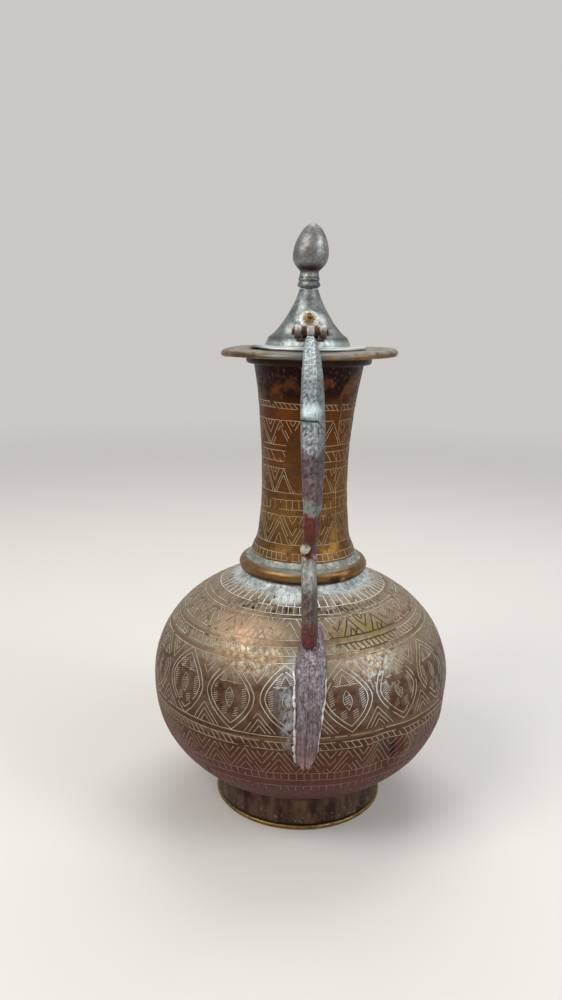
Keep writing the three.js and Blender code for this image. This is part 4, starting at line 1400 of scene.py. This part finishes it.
# %% The solder run tree
solder_run, given = new_tree(
    "Solder run", Thickness="Float", Lumps="Float", Grain="Float", Seed="Float",
    Material="Material",
)
path = add_node("GeometryNodeMeshToCurve", given["Geometry"])
path = add_node("GeometryNodeResampleCurve", path, Length=0.5 * MM, mode="LENGTH")
scale = add_node("ShaderNodeMath", 1, given["Grain"], operation="DIVIDE")
place = add_node("GeometryNodeInputPosition", tree=solder_run)
size = add_node("ShaderNodeTexNoise", place, given["Seed"], scale, 2, 0.5, noise_dimensions="4D")
size = add_node("ShaderNodeMapRange", size, 0.35, 0.7, 0.25, 1.6)
factor = add_node("GeometryNodeSplineParameter", tree=solder_run).node.outputs["Factor"]
to_end = add_node("ShaderNodeMath", factor, 0.5, operation="PINGPONG")
taper = add_node("ShaderNodeMapRange", to_end, 0, 0.08, 0.1, 1)
size = add_node("ShaderNodeMath", size, taper, operation="MULTIPLY")
size = add_node("ShaderNodeMath", size, given["Thickness"], operation="MULTIPLY")
ring = add_node("GeometryNodeCurvePrimitiveCircle", 10, Radius=1, tree=solder_run)
bead = add_node("GeometryNodeCurveToMesh", path, ring, Scale=size, Fill_Caps=True)
end_tree(lumped(bead, given["Seed"], scale, given["Lumps"], 4, 0.6), given["Material"])


def new_row(name, points):
    """A row of points in millimetres, joined by edges."""
    return new_piece(name, points, edges=[(i, i + 1) for i in range(len(points) - 1)])


def run_solder(name, points, thickness, material, lumps, seed):
    run = new_row(name, points)
    use_tree(
        run, solder_run, Thickness=thickness * MM, Lumps=lumps * MM, Grain=3 * MM, Seed=seed,
        Material=material,
    )
    return as_plain_mesh(run)


for name, start, end, side, thickness, lumps, seed in (
    ("leaf_solder_left", 0.26, 0.98, -1.09, 0.75, 0.35, 22.0),
    ("leaf_solder_right", 0.3, 0.9, 1.07, 0.55, 0.4, 23.0),
):
    points = [leaf_point(share, side) for share in spread(start, end, 60)]
    run = run_solder(name, points, thickness, soft_solder, lumps, seed)
    keep(run, "vessel", "tinned_casting")

# %% [markdown]
# ## Hinge
#
# The hinge's fork has a small foot under the handle's head, a web up to a cross-bar, and a
# round ear at each end of the bar, all cast in one. A pin runs through both ears and through
# a barrel between them. A narrow tongue goes from the barrel up the cone, where a rivet holds
# it over a small fluted washer in a patch of solder.

# %% Hinge fork and pin
pin_radius = 1.2
barrel_radius = 3.2
eye_radius = 3.8
ear_inside = 4.35
ear_outside = 8.35
fork_inside = lid_reach + 1.2
fork_outside = fork_inside + 8
fork_under = plate_top + gap
fork_top = fork_under + 1.6
fork_half = 2.5
web_outside = head_reach - 2.8
bar_top = hinge_height - barrel_radius - gap
bar_under = bar_top - 1.3
bar_inside = web_outside - 4.2


def slab(low_corner, high_corner, half_width):
    """A block from its lowest and highest (reach, height)."""
    (near, low), (far, high) = low_corner, high_corner
    outline = [(near, low), (near, high), (far, high), (far, low)]
    return loft([
        [Vector((x, -reach, height)) for reach, height in outline]
        for x in (half_width, -half_width)
    ])


def rod_across(radius, low, high, crown=0, sides=32):
    """A rod on the hinge's axis, between two X positions, with ends rounded by the crown."""
    rings = []
    for away, x in zip(spread(-1, 1, 12), spread(low, high, 12)):
        reach = radius - crown * (1 - sqrt(1 - away ** 4 * 0.999))
        rings.append([
            Vector((x, -lid_reach + reach * cos(a), hinge_height + reach * sin(a)))
            for a in round_angles(sides)
        ])
    return loft(rings)


fork = joined("hinge_fork_cast", [
    slab((fork_inside, fork_under), (fork_outside, fork_top), fork_half),
    slab((fork_inside, fork_under), (web_outside, bar_top), fork_half),
    slab((bar_inside, bar_under), (web_outside, bar_top + 0.4), ear_outside - 1.3),
    rod_across(eye_radius, ear_inside, ear_outside, 1.5),
    rod_across(eye_radius, -ear_outside, -ear_inside, 1.5),
])
cast(fork, hinge_casting, cube=0.24, relief=0.5, grain=2.0, seed=24.0, smooth=5)
keep(fork, "vessel", "tinned_casting", "hinge_fork")


def place_turned(piece, direction, foot_point):
    """Stands a turned piece on a point, with its axis in a direction."""
    stand = Vector(direction).to_track_quat("Z", "X").to_matrix().to_4x4()
    piece.data.transform(Matrix.Translation(Vector(foot_point) * MM) @ stand)
    piece.data.update()
    return piece


pin_end = ear_outside + gap
pin_half = [
    (pin_radius, pin_end), (1.9, pin_end), (1.9, pin_end + 0.5), (1.2, pin_end + 1),
    (0, pin_end + 1),
]
pin_outline = [(radius, -height) for radius, height in reversed(pin_half)] + pin_half
pin = turn(
    "hinge_pin_rod", eased(pin_outline, 0.25), trim_brass, sides=32, unevenness=0.25, wave=2,
    seed=25.0,
)
place_turned(pin, to_right, (0, -lid_reach, hinge_height))
keep(pin, "vessel", "trim_brass", "hinge_pin")

# %% Hinge strap
rivet_height = plate_top + 16.2
cone_lean = cone_radius_at(rivet_height + 0.5) - cone_radius_at(rivet_height - 0.5)
cone_up = Vector((0, -cone_lean, 1)).normalized()
cone_out = Vector((0, -1, -cone_lean)).normalized()
rivet_foot = Vector((0, -cone_radius_at(rivet_height), rivet_height))
strap_half = 1.5
strap_thickness = 1.3
rosette_under = 0.4
rosette_top = 1.4
strap_under = rosette_top + gap
head_under = strap_under + strap_thickness + gap

strap_end = rivet_foot + (strap_under + strap_thickness / 2) * cone_out
strap_line = [
    strap_end + 2 * cone_up, strap_end, strap_end - 2.6 * cone_up,
    Vector((0, mix(strap_end.y, -lid_reach, 0.4), hinge_height + 2.4)),
    Vector((0, -lid_reach + 1, hinge_height + barrel_radius - strap_thickness)),
]


def squared(angle, wave):
    """A sine or cosine that makes a squarish round."""
    return copysign(abs(wave(angle)) ** 0.45, wave(angle))


strap_rings = []
for share in spread(0, 1, 30):
    place = curve_point(strap_line, share)
    across = curve_direction(strap_line, share).cross(to_right).normalized()
    half = strap_half * (1 + 0.2 * sin(pi * min(share * 2, 1)))
    half *= min(1, 0.5 + 2.2 * share)
    strap_rings.append([
        place + squared(a, cos) * half * to_right
        + squared(a, sin) * strap_thickness / 2 * across for a in round_angles(16, 0.5)
    ])
barrel_end = ear_inside - gap
strap = joined("hinge_strap_and_barrel", [
    loft(strap_rings), rod_across(barrel_radius, -barrel_end, barrel_end),
    rod_across(barrel_radius + 0.25, -strap_half, strap_half),
])
cast(strap, hinge_brass, cube=0.22, relief=0.3, grain=1.6, seed=26.0)
keep(strap, "lid", "trim_brass", "hinge_strap")

# %% Rosette, rivet, rove and solder on the cone
rosette_radius = 3.4
flutes = 11
rosette = turn("strap_rosette_fluted", rounded([
    (rosette_radius, rosette_under), (rosette_radius, rosette_top - 0.4),
    (rosette_radius - 0.8, rosette_top), (1.1, rosette_top), (1.1, rosette_under),
], 0.15), rosette_brass, sides=80, unevenness=0.1, seed=27.0)
for vertex in rosette.data.vertices:
    reach = hypot(vertex.co.x, vertex.co.y) / (rosette_radius * MM)
    if reach > 0.5:
        dip = (0.5 - 0.5 * cos(flutes * atan2(vertex.co.y, vertex.co.x))) ** 2
        vertex.co.xy *= 1 - 0.1 * dip
        vertex.co.z -= 0.35 * MM * dip * (vertex.co.z > (rosette_under + 0.2) * MM)
rivet = turn("strap_rivet_headed", eased([
    (0, -3), (0.8, -3), (0.8, head_under), (1.4, head_under), (1.35, head_under + 0.5),
    (0.9, head_under + 0.9), (0, head_under + 1),
], 0.15), trim_brass, sides=28, unevenness=0.15, wave=1.5, seed=28.0)
rove = turn(
    "rivet_rove_ring", closed([(1.9, -2.7), (1.9, -1.7), (1.1, -1.7), (1.1, -2.7)]),
    trim_brass, sides=28, unevenness=0.05, seed=29.0,
)
halo = turn("rosette_solder", [
    (0, 0.05), (4.6, -0.1), (5.3, 0.1), (4.8, 0.42), (3.4, 0.62), (0, 0.62),
], soft_solder, sides=64, unevenness=0.9, wave=3, seed=30.0)
for piece, *nodes in (
    (rosette, "strap_rosette"), (rivet, "strap_rivet"), (rove, "rivet_rove"), (halo,),
):
    keep(place_turned(piece, cone_out, rivet_foot), "lid", "trim_brass", *nodes)

# %% [markdown]
# ## Spout
#
# The spout is on the far side. It leaves the belly, rises beside the neck and bends outwards
# at its mouth, getting thinner all the way. Its wall is swept along a smooth curve. Boolean
# modifiers cut its root to the belly, shape the flange round it, and open the hole in the
# body behind it.

# %% Spout
spout_root_height = 92
spout_tip_height = 221
spout_swell = 8.6
spout_root_radius = 12
spout_tip_radius = 5
spout_wall = 1.1
flange_thickness = 2
flange_margin = 5
curve_steps = 400
spout_root_reach = body_radius_at(spout_root_height)
spout_rise = spout_tip_height - spout_root_height
spout_line = [
    Vector((0, spout_root_reach + out, spout_root_height + up)) for out, up in (
        (-14, -9), (0, 0), (0.87 * spout_swell, 0.14 * spout_rise),
        (spout_swell, 0.3 * spout_rise), (0.52 * spout_swell, 0.5 * spout_rise),
        (0.23 * spout_swell, 0.68 * spout_rise), (4.4, 0.84 * spout_rise), (12.9, spout_rise),
    )
]
fine_line = [curve_point(spout_line, share) for share in spread(0, 1, curve_steps)]
run = [0.0]
for a, b in zip(fine_line, fine_line[1:]):
    run.append(run[-1] + (b - a).length)


def clamped(share):
    return min(max(share, 0), 1)


def spout_place(share):
    """Place and direction at a share of the spout's length."""
    target = clamped(share) * run[-1]
    i = min(max(j for j in range(curve_steps + 1) if run[j] <= target), curve_steps - 1)
    place = fine_line[i].lerp(fine_line[i + 1], (target - run[i]) / (run[i + 1] - run[i]))
    along = (fine_line[i + 1] - fine_line[i]).normalized()
    return place + (share - clamped(share)) * run[-1] * along, along


def round_ring(place, along, radius, sides=40):
    across = along.cross(to_right).normalized()
    return [
        place + radius * (cos(a) * to_right + sin(a) * across)
        for a in round_angles(sides)
    ]


def spout_rings(offset, low, high, steps=64):
    rings = []
    for share in spread(low, high, steps):
        slim = 1 - (1 - clamped(share)) ** 1.7
        radius = mix(spout_root_radius, spout_tip_radius, slim) + offset
        rings.append(round_ring(*spout_place(share), radius))
    return rings


def solid_of(name, rings, loop=False):
    solid = new_piece(name, *loft(rings, loop))
    shape = bmesh.new()
    shape.from_mesh(solid.data)
    bmesh.ops.recalc_face_normals(shape, faces=shape.faces)
    shape.to_mesh(solid.data)
    shape.free()
    return solid


def cut(piece, tool, how="DIFFERENCE"):
    modifier = piece.modifiers.new(how, "BOOLEAN")
    modifier.object = tool
    modifier.operation = how
    modifier.solver = "EXACT"


def belly(name, offset):
    """The belly as a solid, grown by an offset."""
    return turn(name, [*body_outline(offset, 40), (0, 137)], raised_copper, unevenness=0)


seat = belly("seat", gap)
grown = belly("grown", gap + flange_thickness)
inside_rings = list(reversed(spout_rings(-spout_wall, -0.02, 1)))
spout = solid_of("spout_tube_drawn", spout_rings(0, 0, 1) + inside_rings, True)
cut(spout, seat)
as_plain_mesh(spout)

root_along = spout_place(0.08)[1]
root_place = Vector((0, spout_root_reach, spout_root_height))
flange = solid_of("spout_flange_plate", [
    round_ring(root_place + away * root_along, root_along, spout_root_radius + flange_margin, 72)
    for away in (-12, 12)
])
tube = solid_of("tube", spout_rings(gap, -0.02, 0.6))
cut(flange, grown, "INTERSECT")
cut(flange, seat)
cut(flange, tube)
as_plain_mesh(flange)

bore = solid_of("bore", spout_rings(-spout_wall, -0.05, 0.3))
plain_body = body.copy()      # without the hole, for the engraving to lie on
plain_body.data = body.data.copy()
scene.collection.objects.link(plain_body)
cut(body, bore)
as_plain_mesh(body)
drop_helpers(seat, grown, tube, bore)
for piece, finish, node in (
    (spout, rolled_copper, "spout_tube"), (flange, raised_copper, "spout_flange"),
):
    piece.data.materials.clear()
    piece.data.materials.append(finish)
    for face in piece.data.polygons:
        face.use_smooth = True
    keep(piece, "vessel", "spout_copper", node)

lip_inside = spout_tip_radius + gap
lip_half = 1.5
lip_outline = closed([
    *arc(lip_inside + 0.6 * lip_half, 0, lip_half, pi / 2, 12),
    (lip_inside, lip_half), (lip_inside, -lip_half),
])
lip = turn("spout_lip_bead", lip_outline, trim_brass, sides=56, unevenness=0.2, wave=5, seed=31.0)
tip_place, tip_along = spout_place(1)
place_turned(lip, tip_along, tip_place - lip_half * tip_along)
keep(lip, "vessel", "trim_brass", "spout_lip")

# %% [markdown]
# ## Engraving
#
# The engraver works in bands. Each band repeats one small figure round the vessel: a ray, a
# pair of triangles, a slanted tick or a pointed medallion. So a band is a figure drawn once
# on a unit square, and a tree that repeats it, unrolls it round the outline, drops it onto
# the real wall with its dents, and sweeps a fine strip along it. A wobble makes it a hand's
# line, and a tilt lets the band run down to one side, as a band drawn by eye does.
#
# An engraved line is a dark groove with pale lime packed in it. Two passes of the same tree
# draw the two: a wide dark strip, and a narrow pale one that lies on it. Where the lime is
# worn away its strip sinks out of sight and leaves the dark groove.

# %% The engraved band tree: repeat the figure on a flat strip
stroke_step = 1.4 * MM
strip_height = 0.3 * MM
sink_depth = 0.4 * MM
drop_from = 4 * MM            # the figure starts this far outside the wall
drop_length = 12 * MM
wobble = 0.7 * MM
wobble_grain = 5 * MM
wear_grain = 6 * MM
clear_of_spout = 16.5 * MM    # no lines this near to the spout's root
band_tree, given = new_tree(
    "Engraved band", Motif="Object", Outline="Object", Surface="Object", Count="Int",
    Pitch="Float", Phase="Float", Low="Float", Height="Float", Tilt="Float", Width="Float",
    Proud="Float", Wobble="Float", Jitter="Float", Wear="Float", Rubbed="Vector",
    Reach="Vector", Clear="Float", Seed="Int", Material="Material",
)
motif, rail, surface = (
    add_node("GeometryNodeObjectInfo", given[name]).node.outputs["Geometry"]
    for name in ("Motif", "Outline", "Surface")
)
step = add_node("ShaderNodeCombineXYZ", given["Pitch"], 0, 0)
spots = add_node("GeometryNodeMeshLine", given["Count"], Offset=step, mode="OFFSET")
least, most = (
    add_node("ShaderNodeMath", 1, given["Jitter"], operation=how) for how in ("SUBTRACT", "ADD")
)
stretch = add_node("FunctionNodeRandomValue", least, most, Seed=given["Seed"], data_type="FLOAT")
across, up = (
    add_node("ShaderNodeMath", given[name], stretch, operation="MULTIPLY")
    for name in ("Pitch", "Height")
)
unit_size = add_node("ShaderNodeCombineXYZ", across, 1, up)
copies = add_node("GeometryNodeInstanceOnPoints", spots, Instance=motif, Scale=unit_size)
strokes = add_node("GeometryNodeRealizeInstances", copies)
strokes = add_node("GeometryNodeMeshToCurve", strokes)
strokes = add_node("GeometryNodeResampleCurve", strokes, Length=stroke_step, mode="LENGTH")

# %% The engraved band tree: unroll it round the outline
position = add_node("GeometryNodeInputPosition", tree=band_tree)
unrolled = add_node("ShaderNodeSeparateXYZ", position).node.outputs
girth = add_node("ShaderNodeMath", given["Pitch"], given["Count"], operation="MULTIPLY")
turn_share = add_node("ShaderNodeMath", unrolled["X"], girth, operation="DIVIDE")
angle = add_node("ShaderNodeMath", turn_share, 2 * pi, given["Phase"], operation="MULTIPLY_ADD")
tilted = add_node("ShaderNodeMath", angle, operation="COSINE")
tilted = add_node("ShaderNodeMath", tilted, given["Tilt"], operation="MULTIPLY")
rise = add_node("ShaderNodeMath", tilted, given["Low"], operation="ADD")
length = add_node("ShaderNodeMath", unrolled["Z"], rise, operation="ADD")
rail = add_node("GeometryNodeMeshToCurve", rail)
on_rail = add_node("GeometryNodeSampleCurve", rail, Length=length, mode="LENGTH").node.outputs
tangent = add_node("ShaderNodeSeparateXYZ", on_rail["Tangent"]).node.outputs
back = add_node("ShaderNodeMath", tangent["X"], -1, operation="MULTIPLY")
out = add_node("ShaderNodeCombineXYZ", tangent["Z"], 0, back)
out = add_node("ShaderNodeVectorRotate", out, None, angle, rotation_type="Z_AXIS")
place = add_node(
    "ShaderNodeVectorRotate", on_rail["Position"], None, angle, rotation_type="Z_AXIS"
)
hand = add_node("ShaderNodeTexNoise", place, 1 / wobble_grain, 2, 0.5)
hand = add_node(
    "ShaderNodeVectorMath", hand.node.outputs["Color"], (0.5, 0.5, 0.5), operation="SUBTRACT"
)
hand = add_node("ShaderNodeVectorMath", hand, given["Wobble"], operation="SCALE")
place = add_node("ShaderNodeVectorMath", place, hand, operation="ADD")

# %% The engraved band tree: drop it onto the wall and sweep the strip
start = add_node("ShaderNodeVectorMath", out, drop_from, operation="SCALE")
start = add_node("ShaderNodeVectorMath", place, start, operation="ADD")
inwards = add_node("ShaderNodeVectorMath", out, -1, operation="SCALE")
ray = add_node(
    "GeometryNodeRaycast", surface, Ray_Length=drop_length, Source_Position=start,
    Ray_Direction=inwards,
)
hit = ray.node.outputs["Hit Position"]
worn = add_node("ShaderNodeTexNoise", hit, 1 / wear_grain, 4, 0.6)
full_wear = add_node("ShaderNodeMath", given["Wear"], 0.05, operation="SUBTRACT")
worn = add_node("ShaderNodeMapRange", worn, given["Wear"], full_wear, 0, 1)
rub = add_node("ShaderNodeVectorMath", hit, given["Rubbed"], operation="SUBTRACT")
rub = add_node("ShaderNodeVectorMath", rub, given["Reach"], operation="DIVIDE")
rub = add_node("ShaderNodeVectorMath", rub, operation="LENGTH")
rub = add_node("ShaderNodeMapRange", rub, 1, 0.8, 0, 1)
worn = add_node("ShaderNodeMath", worn, rub, operation="MAXIMUM")
centre_lift = add_node("ShaderNodeMath", given["Proud"], strip_height / 2, operation="SUBTRACT")
sunk = add_node("ShaderNodeMath", worn, -sink_depth, centre_lift, operation="MULTIPLY_ADD")
lifted = add_node("ShaderNodeVectorMath", out, sunk, operation="SCALE")
landed = add_node("ShaderNodeVectorMath", hit, lifted, operation="ADD")
strokes = add_node("GeometryNodeSetCurveNormal", strokes, Normal=out, mode="FREE")
strokes = add_node("GeometryNodeSetPosition", strokes, Position=landed)
stylus = add_node("GeometryNodeCurvePrimitiveQuadrilateral", strip_height, given["Width"])
swept = add_node("GeometryNodeCurveToMesh", strokes, stylus, Fill_Caps=True)
away = add_node("ShaderNodeVectorMath", position, tuple(root_place * MM), operation="DISTANCE")
near_spout = add_node("FunctionNodeCompare", away, given["Clear"], operation="LESS_THAN")
kept_lines = add_node("GeometryNodeDeleteGeometry", swept, near_spout)
end_tree(kept_lines, given["Material"])
print("nodes in the band tree:", len(band_tree.nodes))

# %% Measuring up an outline, and joining bands
def run_at(outline, height):
    """(length along the outline, radius) where it reaches a height."""
    length = 0.0
    for (r0, z0), (r1, z1) in zip(outline, outline[1:]):
        step = dist((r0, z0), (r1, z1))
        if z0 <= height <= z1:
            share = (height - z0) / ((z1 - z0) or 1)
            return mix(length, length + step, share), mix(r0, r1, share)
        length += step
    return length, outline[-1][0]


def new_motif(strokes):
    """Strokes of (across, up) on a unit square, as one mesh of edges."""
    points, edges = [], []
    for stroke in strokes:
        start = len(points)
        points += [(u, 0, v) for u, v in stroke]
        edges += [(start + i, start + i + 1) for i in range(len(stroke) - 1)]
    return new_piece("motif", points, edges=edges, unit=1)


def engrave(name, outline, surface, bands, material, width, proud, wear, rubbed, reach):
    """Draws every band on the surface and returns them as one joined piece."""
    rail = new_row("rail", [(radius, 0, height) for radius, height in outline])
    whole = bmesh.new()
    for number, (low, high, count, strokes, centre, tilt, jitter, *weight) in enumerate(bands):
        low_run, low_radius = run_at(outline, low)
        high_run, high_radius = run_at(outline, high)
        girth = pi * (low_radius + high_radius)
        motif = new_motif(strokes)
        band = new_piece("band", [(0, 0, 0)])
        use_tree(
            band, band_tree, Motif=motif, Outline=rail, Surface=surface, Count=count,
            Pitch=girth / count * MM, Phase=radians(centre - 90), Low=low_run * MM,
            Height=(high_run - low_run) * MM, Tilt=tilt * MM, Width=width * (*weight, 1)[0] * MM,
            Proud=proud * MM, Wobble=wobble, Jitter=jitter, Wear=wear,
            Rubbed=[c * MM for c in rubbed], Reach=[r * MM for r in reach],
            Clear=clear_of_spout, Seed=number, Material=material,
        )
        as_plain_mesh(band)
        whole.from_mesh(band.data)
        drop_helpers(motif, band)
    piece = new_piece(name, [], material=material)
    whole.to_mesh(piece.data)
    whole.free()
    drop_helpers(rail)
    return piece


def engrave_twice(name, outline, surface, bands, width, rubbed, reach, wear, slot):
    """The groove and its lime, each a piece of its own."""
    for layer, material, share, proud, worn, worn_reach in (
        ("_grooves", groove_grime, 1.7, 0.03, 0, (0.1, 0.1, 0.1)),
        ("_lime", packed_lime, 1, 0.08, wear, reach),
    ):
        piece = engrave(
            name + layer, outline, surface, bands, material, share * width, proud, worn,
            rubbed, worn_reach,
        )
        keep(piece, "vessel", slot)


# %% [markdown]
# ## Figures of the bands
#
# Each figure is a few strokes on a unit square: 0 to 1 up the band, and -0.5 to 0.5 across
# one repeat. The triangles are a broad zigzag ribbon with small corners drawn in it. A
# medallion is a pointed round with a double edge. In it are a small pointed petal, a line
# over it with a small corner, and seven columns of short slanted strokes.

# %% Figures
line = [[(-0.5, 0), (0.5, 0)]]
collar_ray = [[(0.05, 0), (-0.05, 1)]]
upright_tick = [[(0.04, 0), (-0.04, 1)]]
slanted_tick = [[(0.4, 0), (-0.4, 1)]]
slant = 0.15                  # a medallion's top lies this share of a repeat to the left


def peaks(*rows):
    """Angles, each with its middle, half width, foot and tip."""
    return [[(u - half, low), (u, high), (u + half, low)] for u, half, low, high in rows]


shoulder_triangle = [
    *peaks((0, 0.33, 0, 0.86), (0.5, 0.3, 1, 0.3), (0.5, 0.14, 1, 0.64)),
    [(0.2, 0.34), (0.03, 0.02)], *peaks((0, 0.12, 0, 0.4)),
]
neck_triangle = peaks(
    (0, 0.5, 0, 1), (0, 0.38, 0, 0.78), (0.5, 0.27, 1, 0.45), (0.5, 0.12, 1, 0.75),
)
tall_triangle = peaks(
    (0, 0.5, 0, 1), (0, 0.4, 0, 0.8), (0, 0.15, 0, 0.42), (0.5, 0.36, 1, 0.3),
    (0.5, 0.14, 1, 0.7),
)
low_triangle = peaks(
    (0, 0.5, 0, 1), (0, 0.36, 0, 0.7), (0, 0.2, 0, 0.38), (0.5, 0.34, 1, 0.35),
    (0.5, 0.16, 1, 0.68),
)


def pointed_round(middle, half_width, half_height, power=1.7, steps=12):
    """A pointed oval, as one closed stroke."""
    points = []
    for side in (-1, 1):
        for reach in spread(side, -side, steps):
            across = side * half_width * (1 - abs(reach) ** power)
            points.append((-across, middle + reach * half_height))
    return points


def hatch(u, low, high, half, count):
    """Slanted strokes up a column."""
    heights = spread(low, high, count)
    return [[(u - half, start), (u + half, end)] for start, end in zip(heights, heights[1:])]


def slanted(strokes):
    return [[(u - slant * (v - 0.5), v) for u, v in stroke] for stroke in strokes]


medallion = slanted([pointed_round(0.5, 0.45, 0.5), pointed_round(0.5, 0.37, 0.41)])
petals = [pointed_round(0.47, 0.08, 0.14)]
for u, low, high, half, count in (
    (0, 0.38, 0.54, 0.05, 5), (-0.27, 0.34, 0.62, 0.04, 9), (0.27, 0.34, 0.62, 0.04, 9),
    (-0.12, 0.66, 0.8, 0.05, 5), (0.12, 0.66, 0.8, 0.05, 5),
    (-0.1, 0.2, 0.33, 0.05, 4), (0.1, 0.2, 0.33, 0.05, 4),
):
    petals += hatch(u, low, high, half, count)
petals = slanted([*petals, [(-0.22, 0.68), (0.22, 0.68)], *peaks((0, 0.09, 0.7, 0.85))])
spandrels = slanted(peaks(
    *[(0.5, half, 0.99, 0.99 - 1.15 * half) for half in (0.24, 0.15, 0.07)],
    *[(0.5, half, 0.01, 0.01 + 1.15 * half) for half in (0.26, 0.18, 0.1)],
))
print("strokes in a medallion:", len(medallion + petals + spandrels))

# %% Engrave the body
def ruled(height, tilt=0, spans=60):
    """A plain line round the vessel, drawn in so many spans."""
    return (height, height + 0.1, spans, line, 0, tilt, 0)


body_bands = [                # low, high, repeats, figure, angle of one, tilt, jitter, weight
    (131.5, 136.2, 66, collar_ray, -34.4, 0, 0.05, 1.3),
    ruled(131.4),
    (129, 131.4, 104, upright_tick, 0, 0.3, 0.1, 0.6),
    ruled(128.9, 0.5),
    ruled(127.6, 1),
    (120.3, 127.6, 23, shoulder_triangle, 7.5, 1.9, 0.03),
    ruled(120.2, 2.7),
    ruled(117.6, 3.4),
    (114.3, 117.5, 140, slanted_tick, 0, 3.6, 0.08),
    ruled(114.1, 3.9),
    ruled(111.4, 4.2),
    (77.4, 110.6, 17, medallion, -6.6, 2.4, 0),
    (77.4, 110.6, 17, spandrels, -6.6, 2.4, 0, 0.75),
    (77.4, 110.6, 17, petals, -6.6, 2.4, 0, 0.5),
    ruled(76.2, 0.5),
    ruled(73.1, 0.4),
    (69, 73, 150, slanted_tick, 0, 0.6, 0.1),
    ruled(68.9, 1),
    (55, 67.8, 30, low_triangle, 3, 1.5, 0.03),
    ruled(54.4, 2),
    (50, 54.3, 130, upright_tick, 0, 2, 0.1),
    ruled(49.5, 2),
    ruled(44.5, 2),
    (40.5, 44.5, 120, upright_tick, 0, 2, 0.1),
]
engrave_twice(
    "body_engraving", body_outside, plain_body, body_bands, width=0.42, rubbed=(30, -52, 121),
    reach=(21, 26, 7), wear=0.38, slot="body_copper",
)
drop_helpers(plain_body)

# %% Engrave the neck
neck_spans = 40


def edged(low, high, count, figure, centre, tilt, jitter):
    """A band between two plain lines."""
    band = (low, high, count, figure, centre, tilt, jitter)
    return [ruled(high, tilt, neck_spans), band, ruled(low - 0.1, tilt, neck_spans)]


neck_bands = [
    *edged(233.4, 236.2, 60, slanted_tick, -38, -0.6, 0.08),
    *edged(213.7, 227.2, 11, neck_triangle, -1.4, 0, 0.03),
    *edged(204.9, 210.5, 38, slanted_tick, 0, 0, 0.05),
    *edged(187.6, 200.8, 13, neck_triangle, -2.8, 0, 0.03),
    *edged(178.7, 183.8, 42, upright_tick, 0, 0.8, 0.06),
    ruled(175, 0.5, neck_spans),
    (159.4, 175, 10, tall_triangle, 1.9, 0.5, 0.02),
    ruled(159.2, 0.3, neck_spans),
    *edged(151, 154.6, 55, upright_tick, 0, 0, 0.06),
]
engrave_twice(
    "neck_engraving", neck_outside, neck, neck_bands, width=0.28, rubbed=(-5, -26, 206),
    reach=(7, 12, 17), wear=0.4, slot="neck_copper",
)

# %% Seam of the neck
seam_foot, seam_top = 147, 237
seam_foot_angle, seam_top_angle = 44.5, 40     # degrees to the right of the handle
seam_sunk = 0.05
seam_points = []
for share in spread(0, 1, 80):
    height = mix(seam_foot, seam_top, share)
    angle = radians(mix(seam_foot_angle, seam_top_angle, share))
    radius = neck_radius_at(height) - seam_sunk
    lean = neck_lean * soft_step(1 - (lean_centre - height) / lean_reach)
    seam_points.append((radius * sin(angle) + lean, -radius * cos(angle), height))
seam = run_solder("neck_brazed_seam", seam_points, 0.24, braze, 0.2, 32.0)
keep(seam, "vessel", "neck_copper")

# %% [markdown]
# ## Every piece goes with its body
#
# Last, each piece is attached to the body that carries it, and the measured nodes that it
# stands for are hidden.

# %% Ride and replace
for piece, body_name, slot_name, nodes in finished.values():
    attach(piece, body_name)
    if nodes:
        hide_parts(*nodes)
print("pieces:", len(finished))
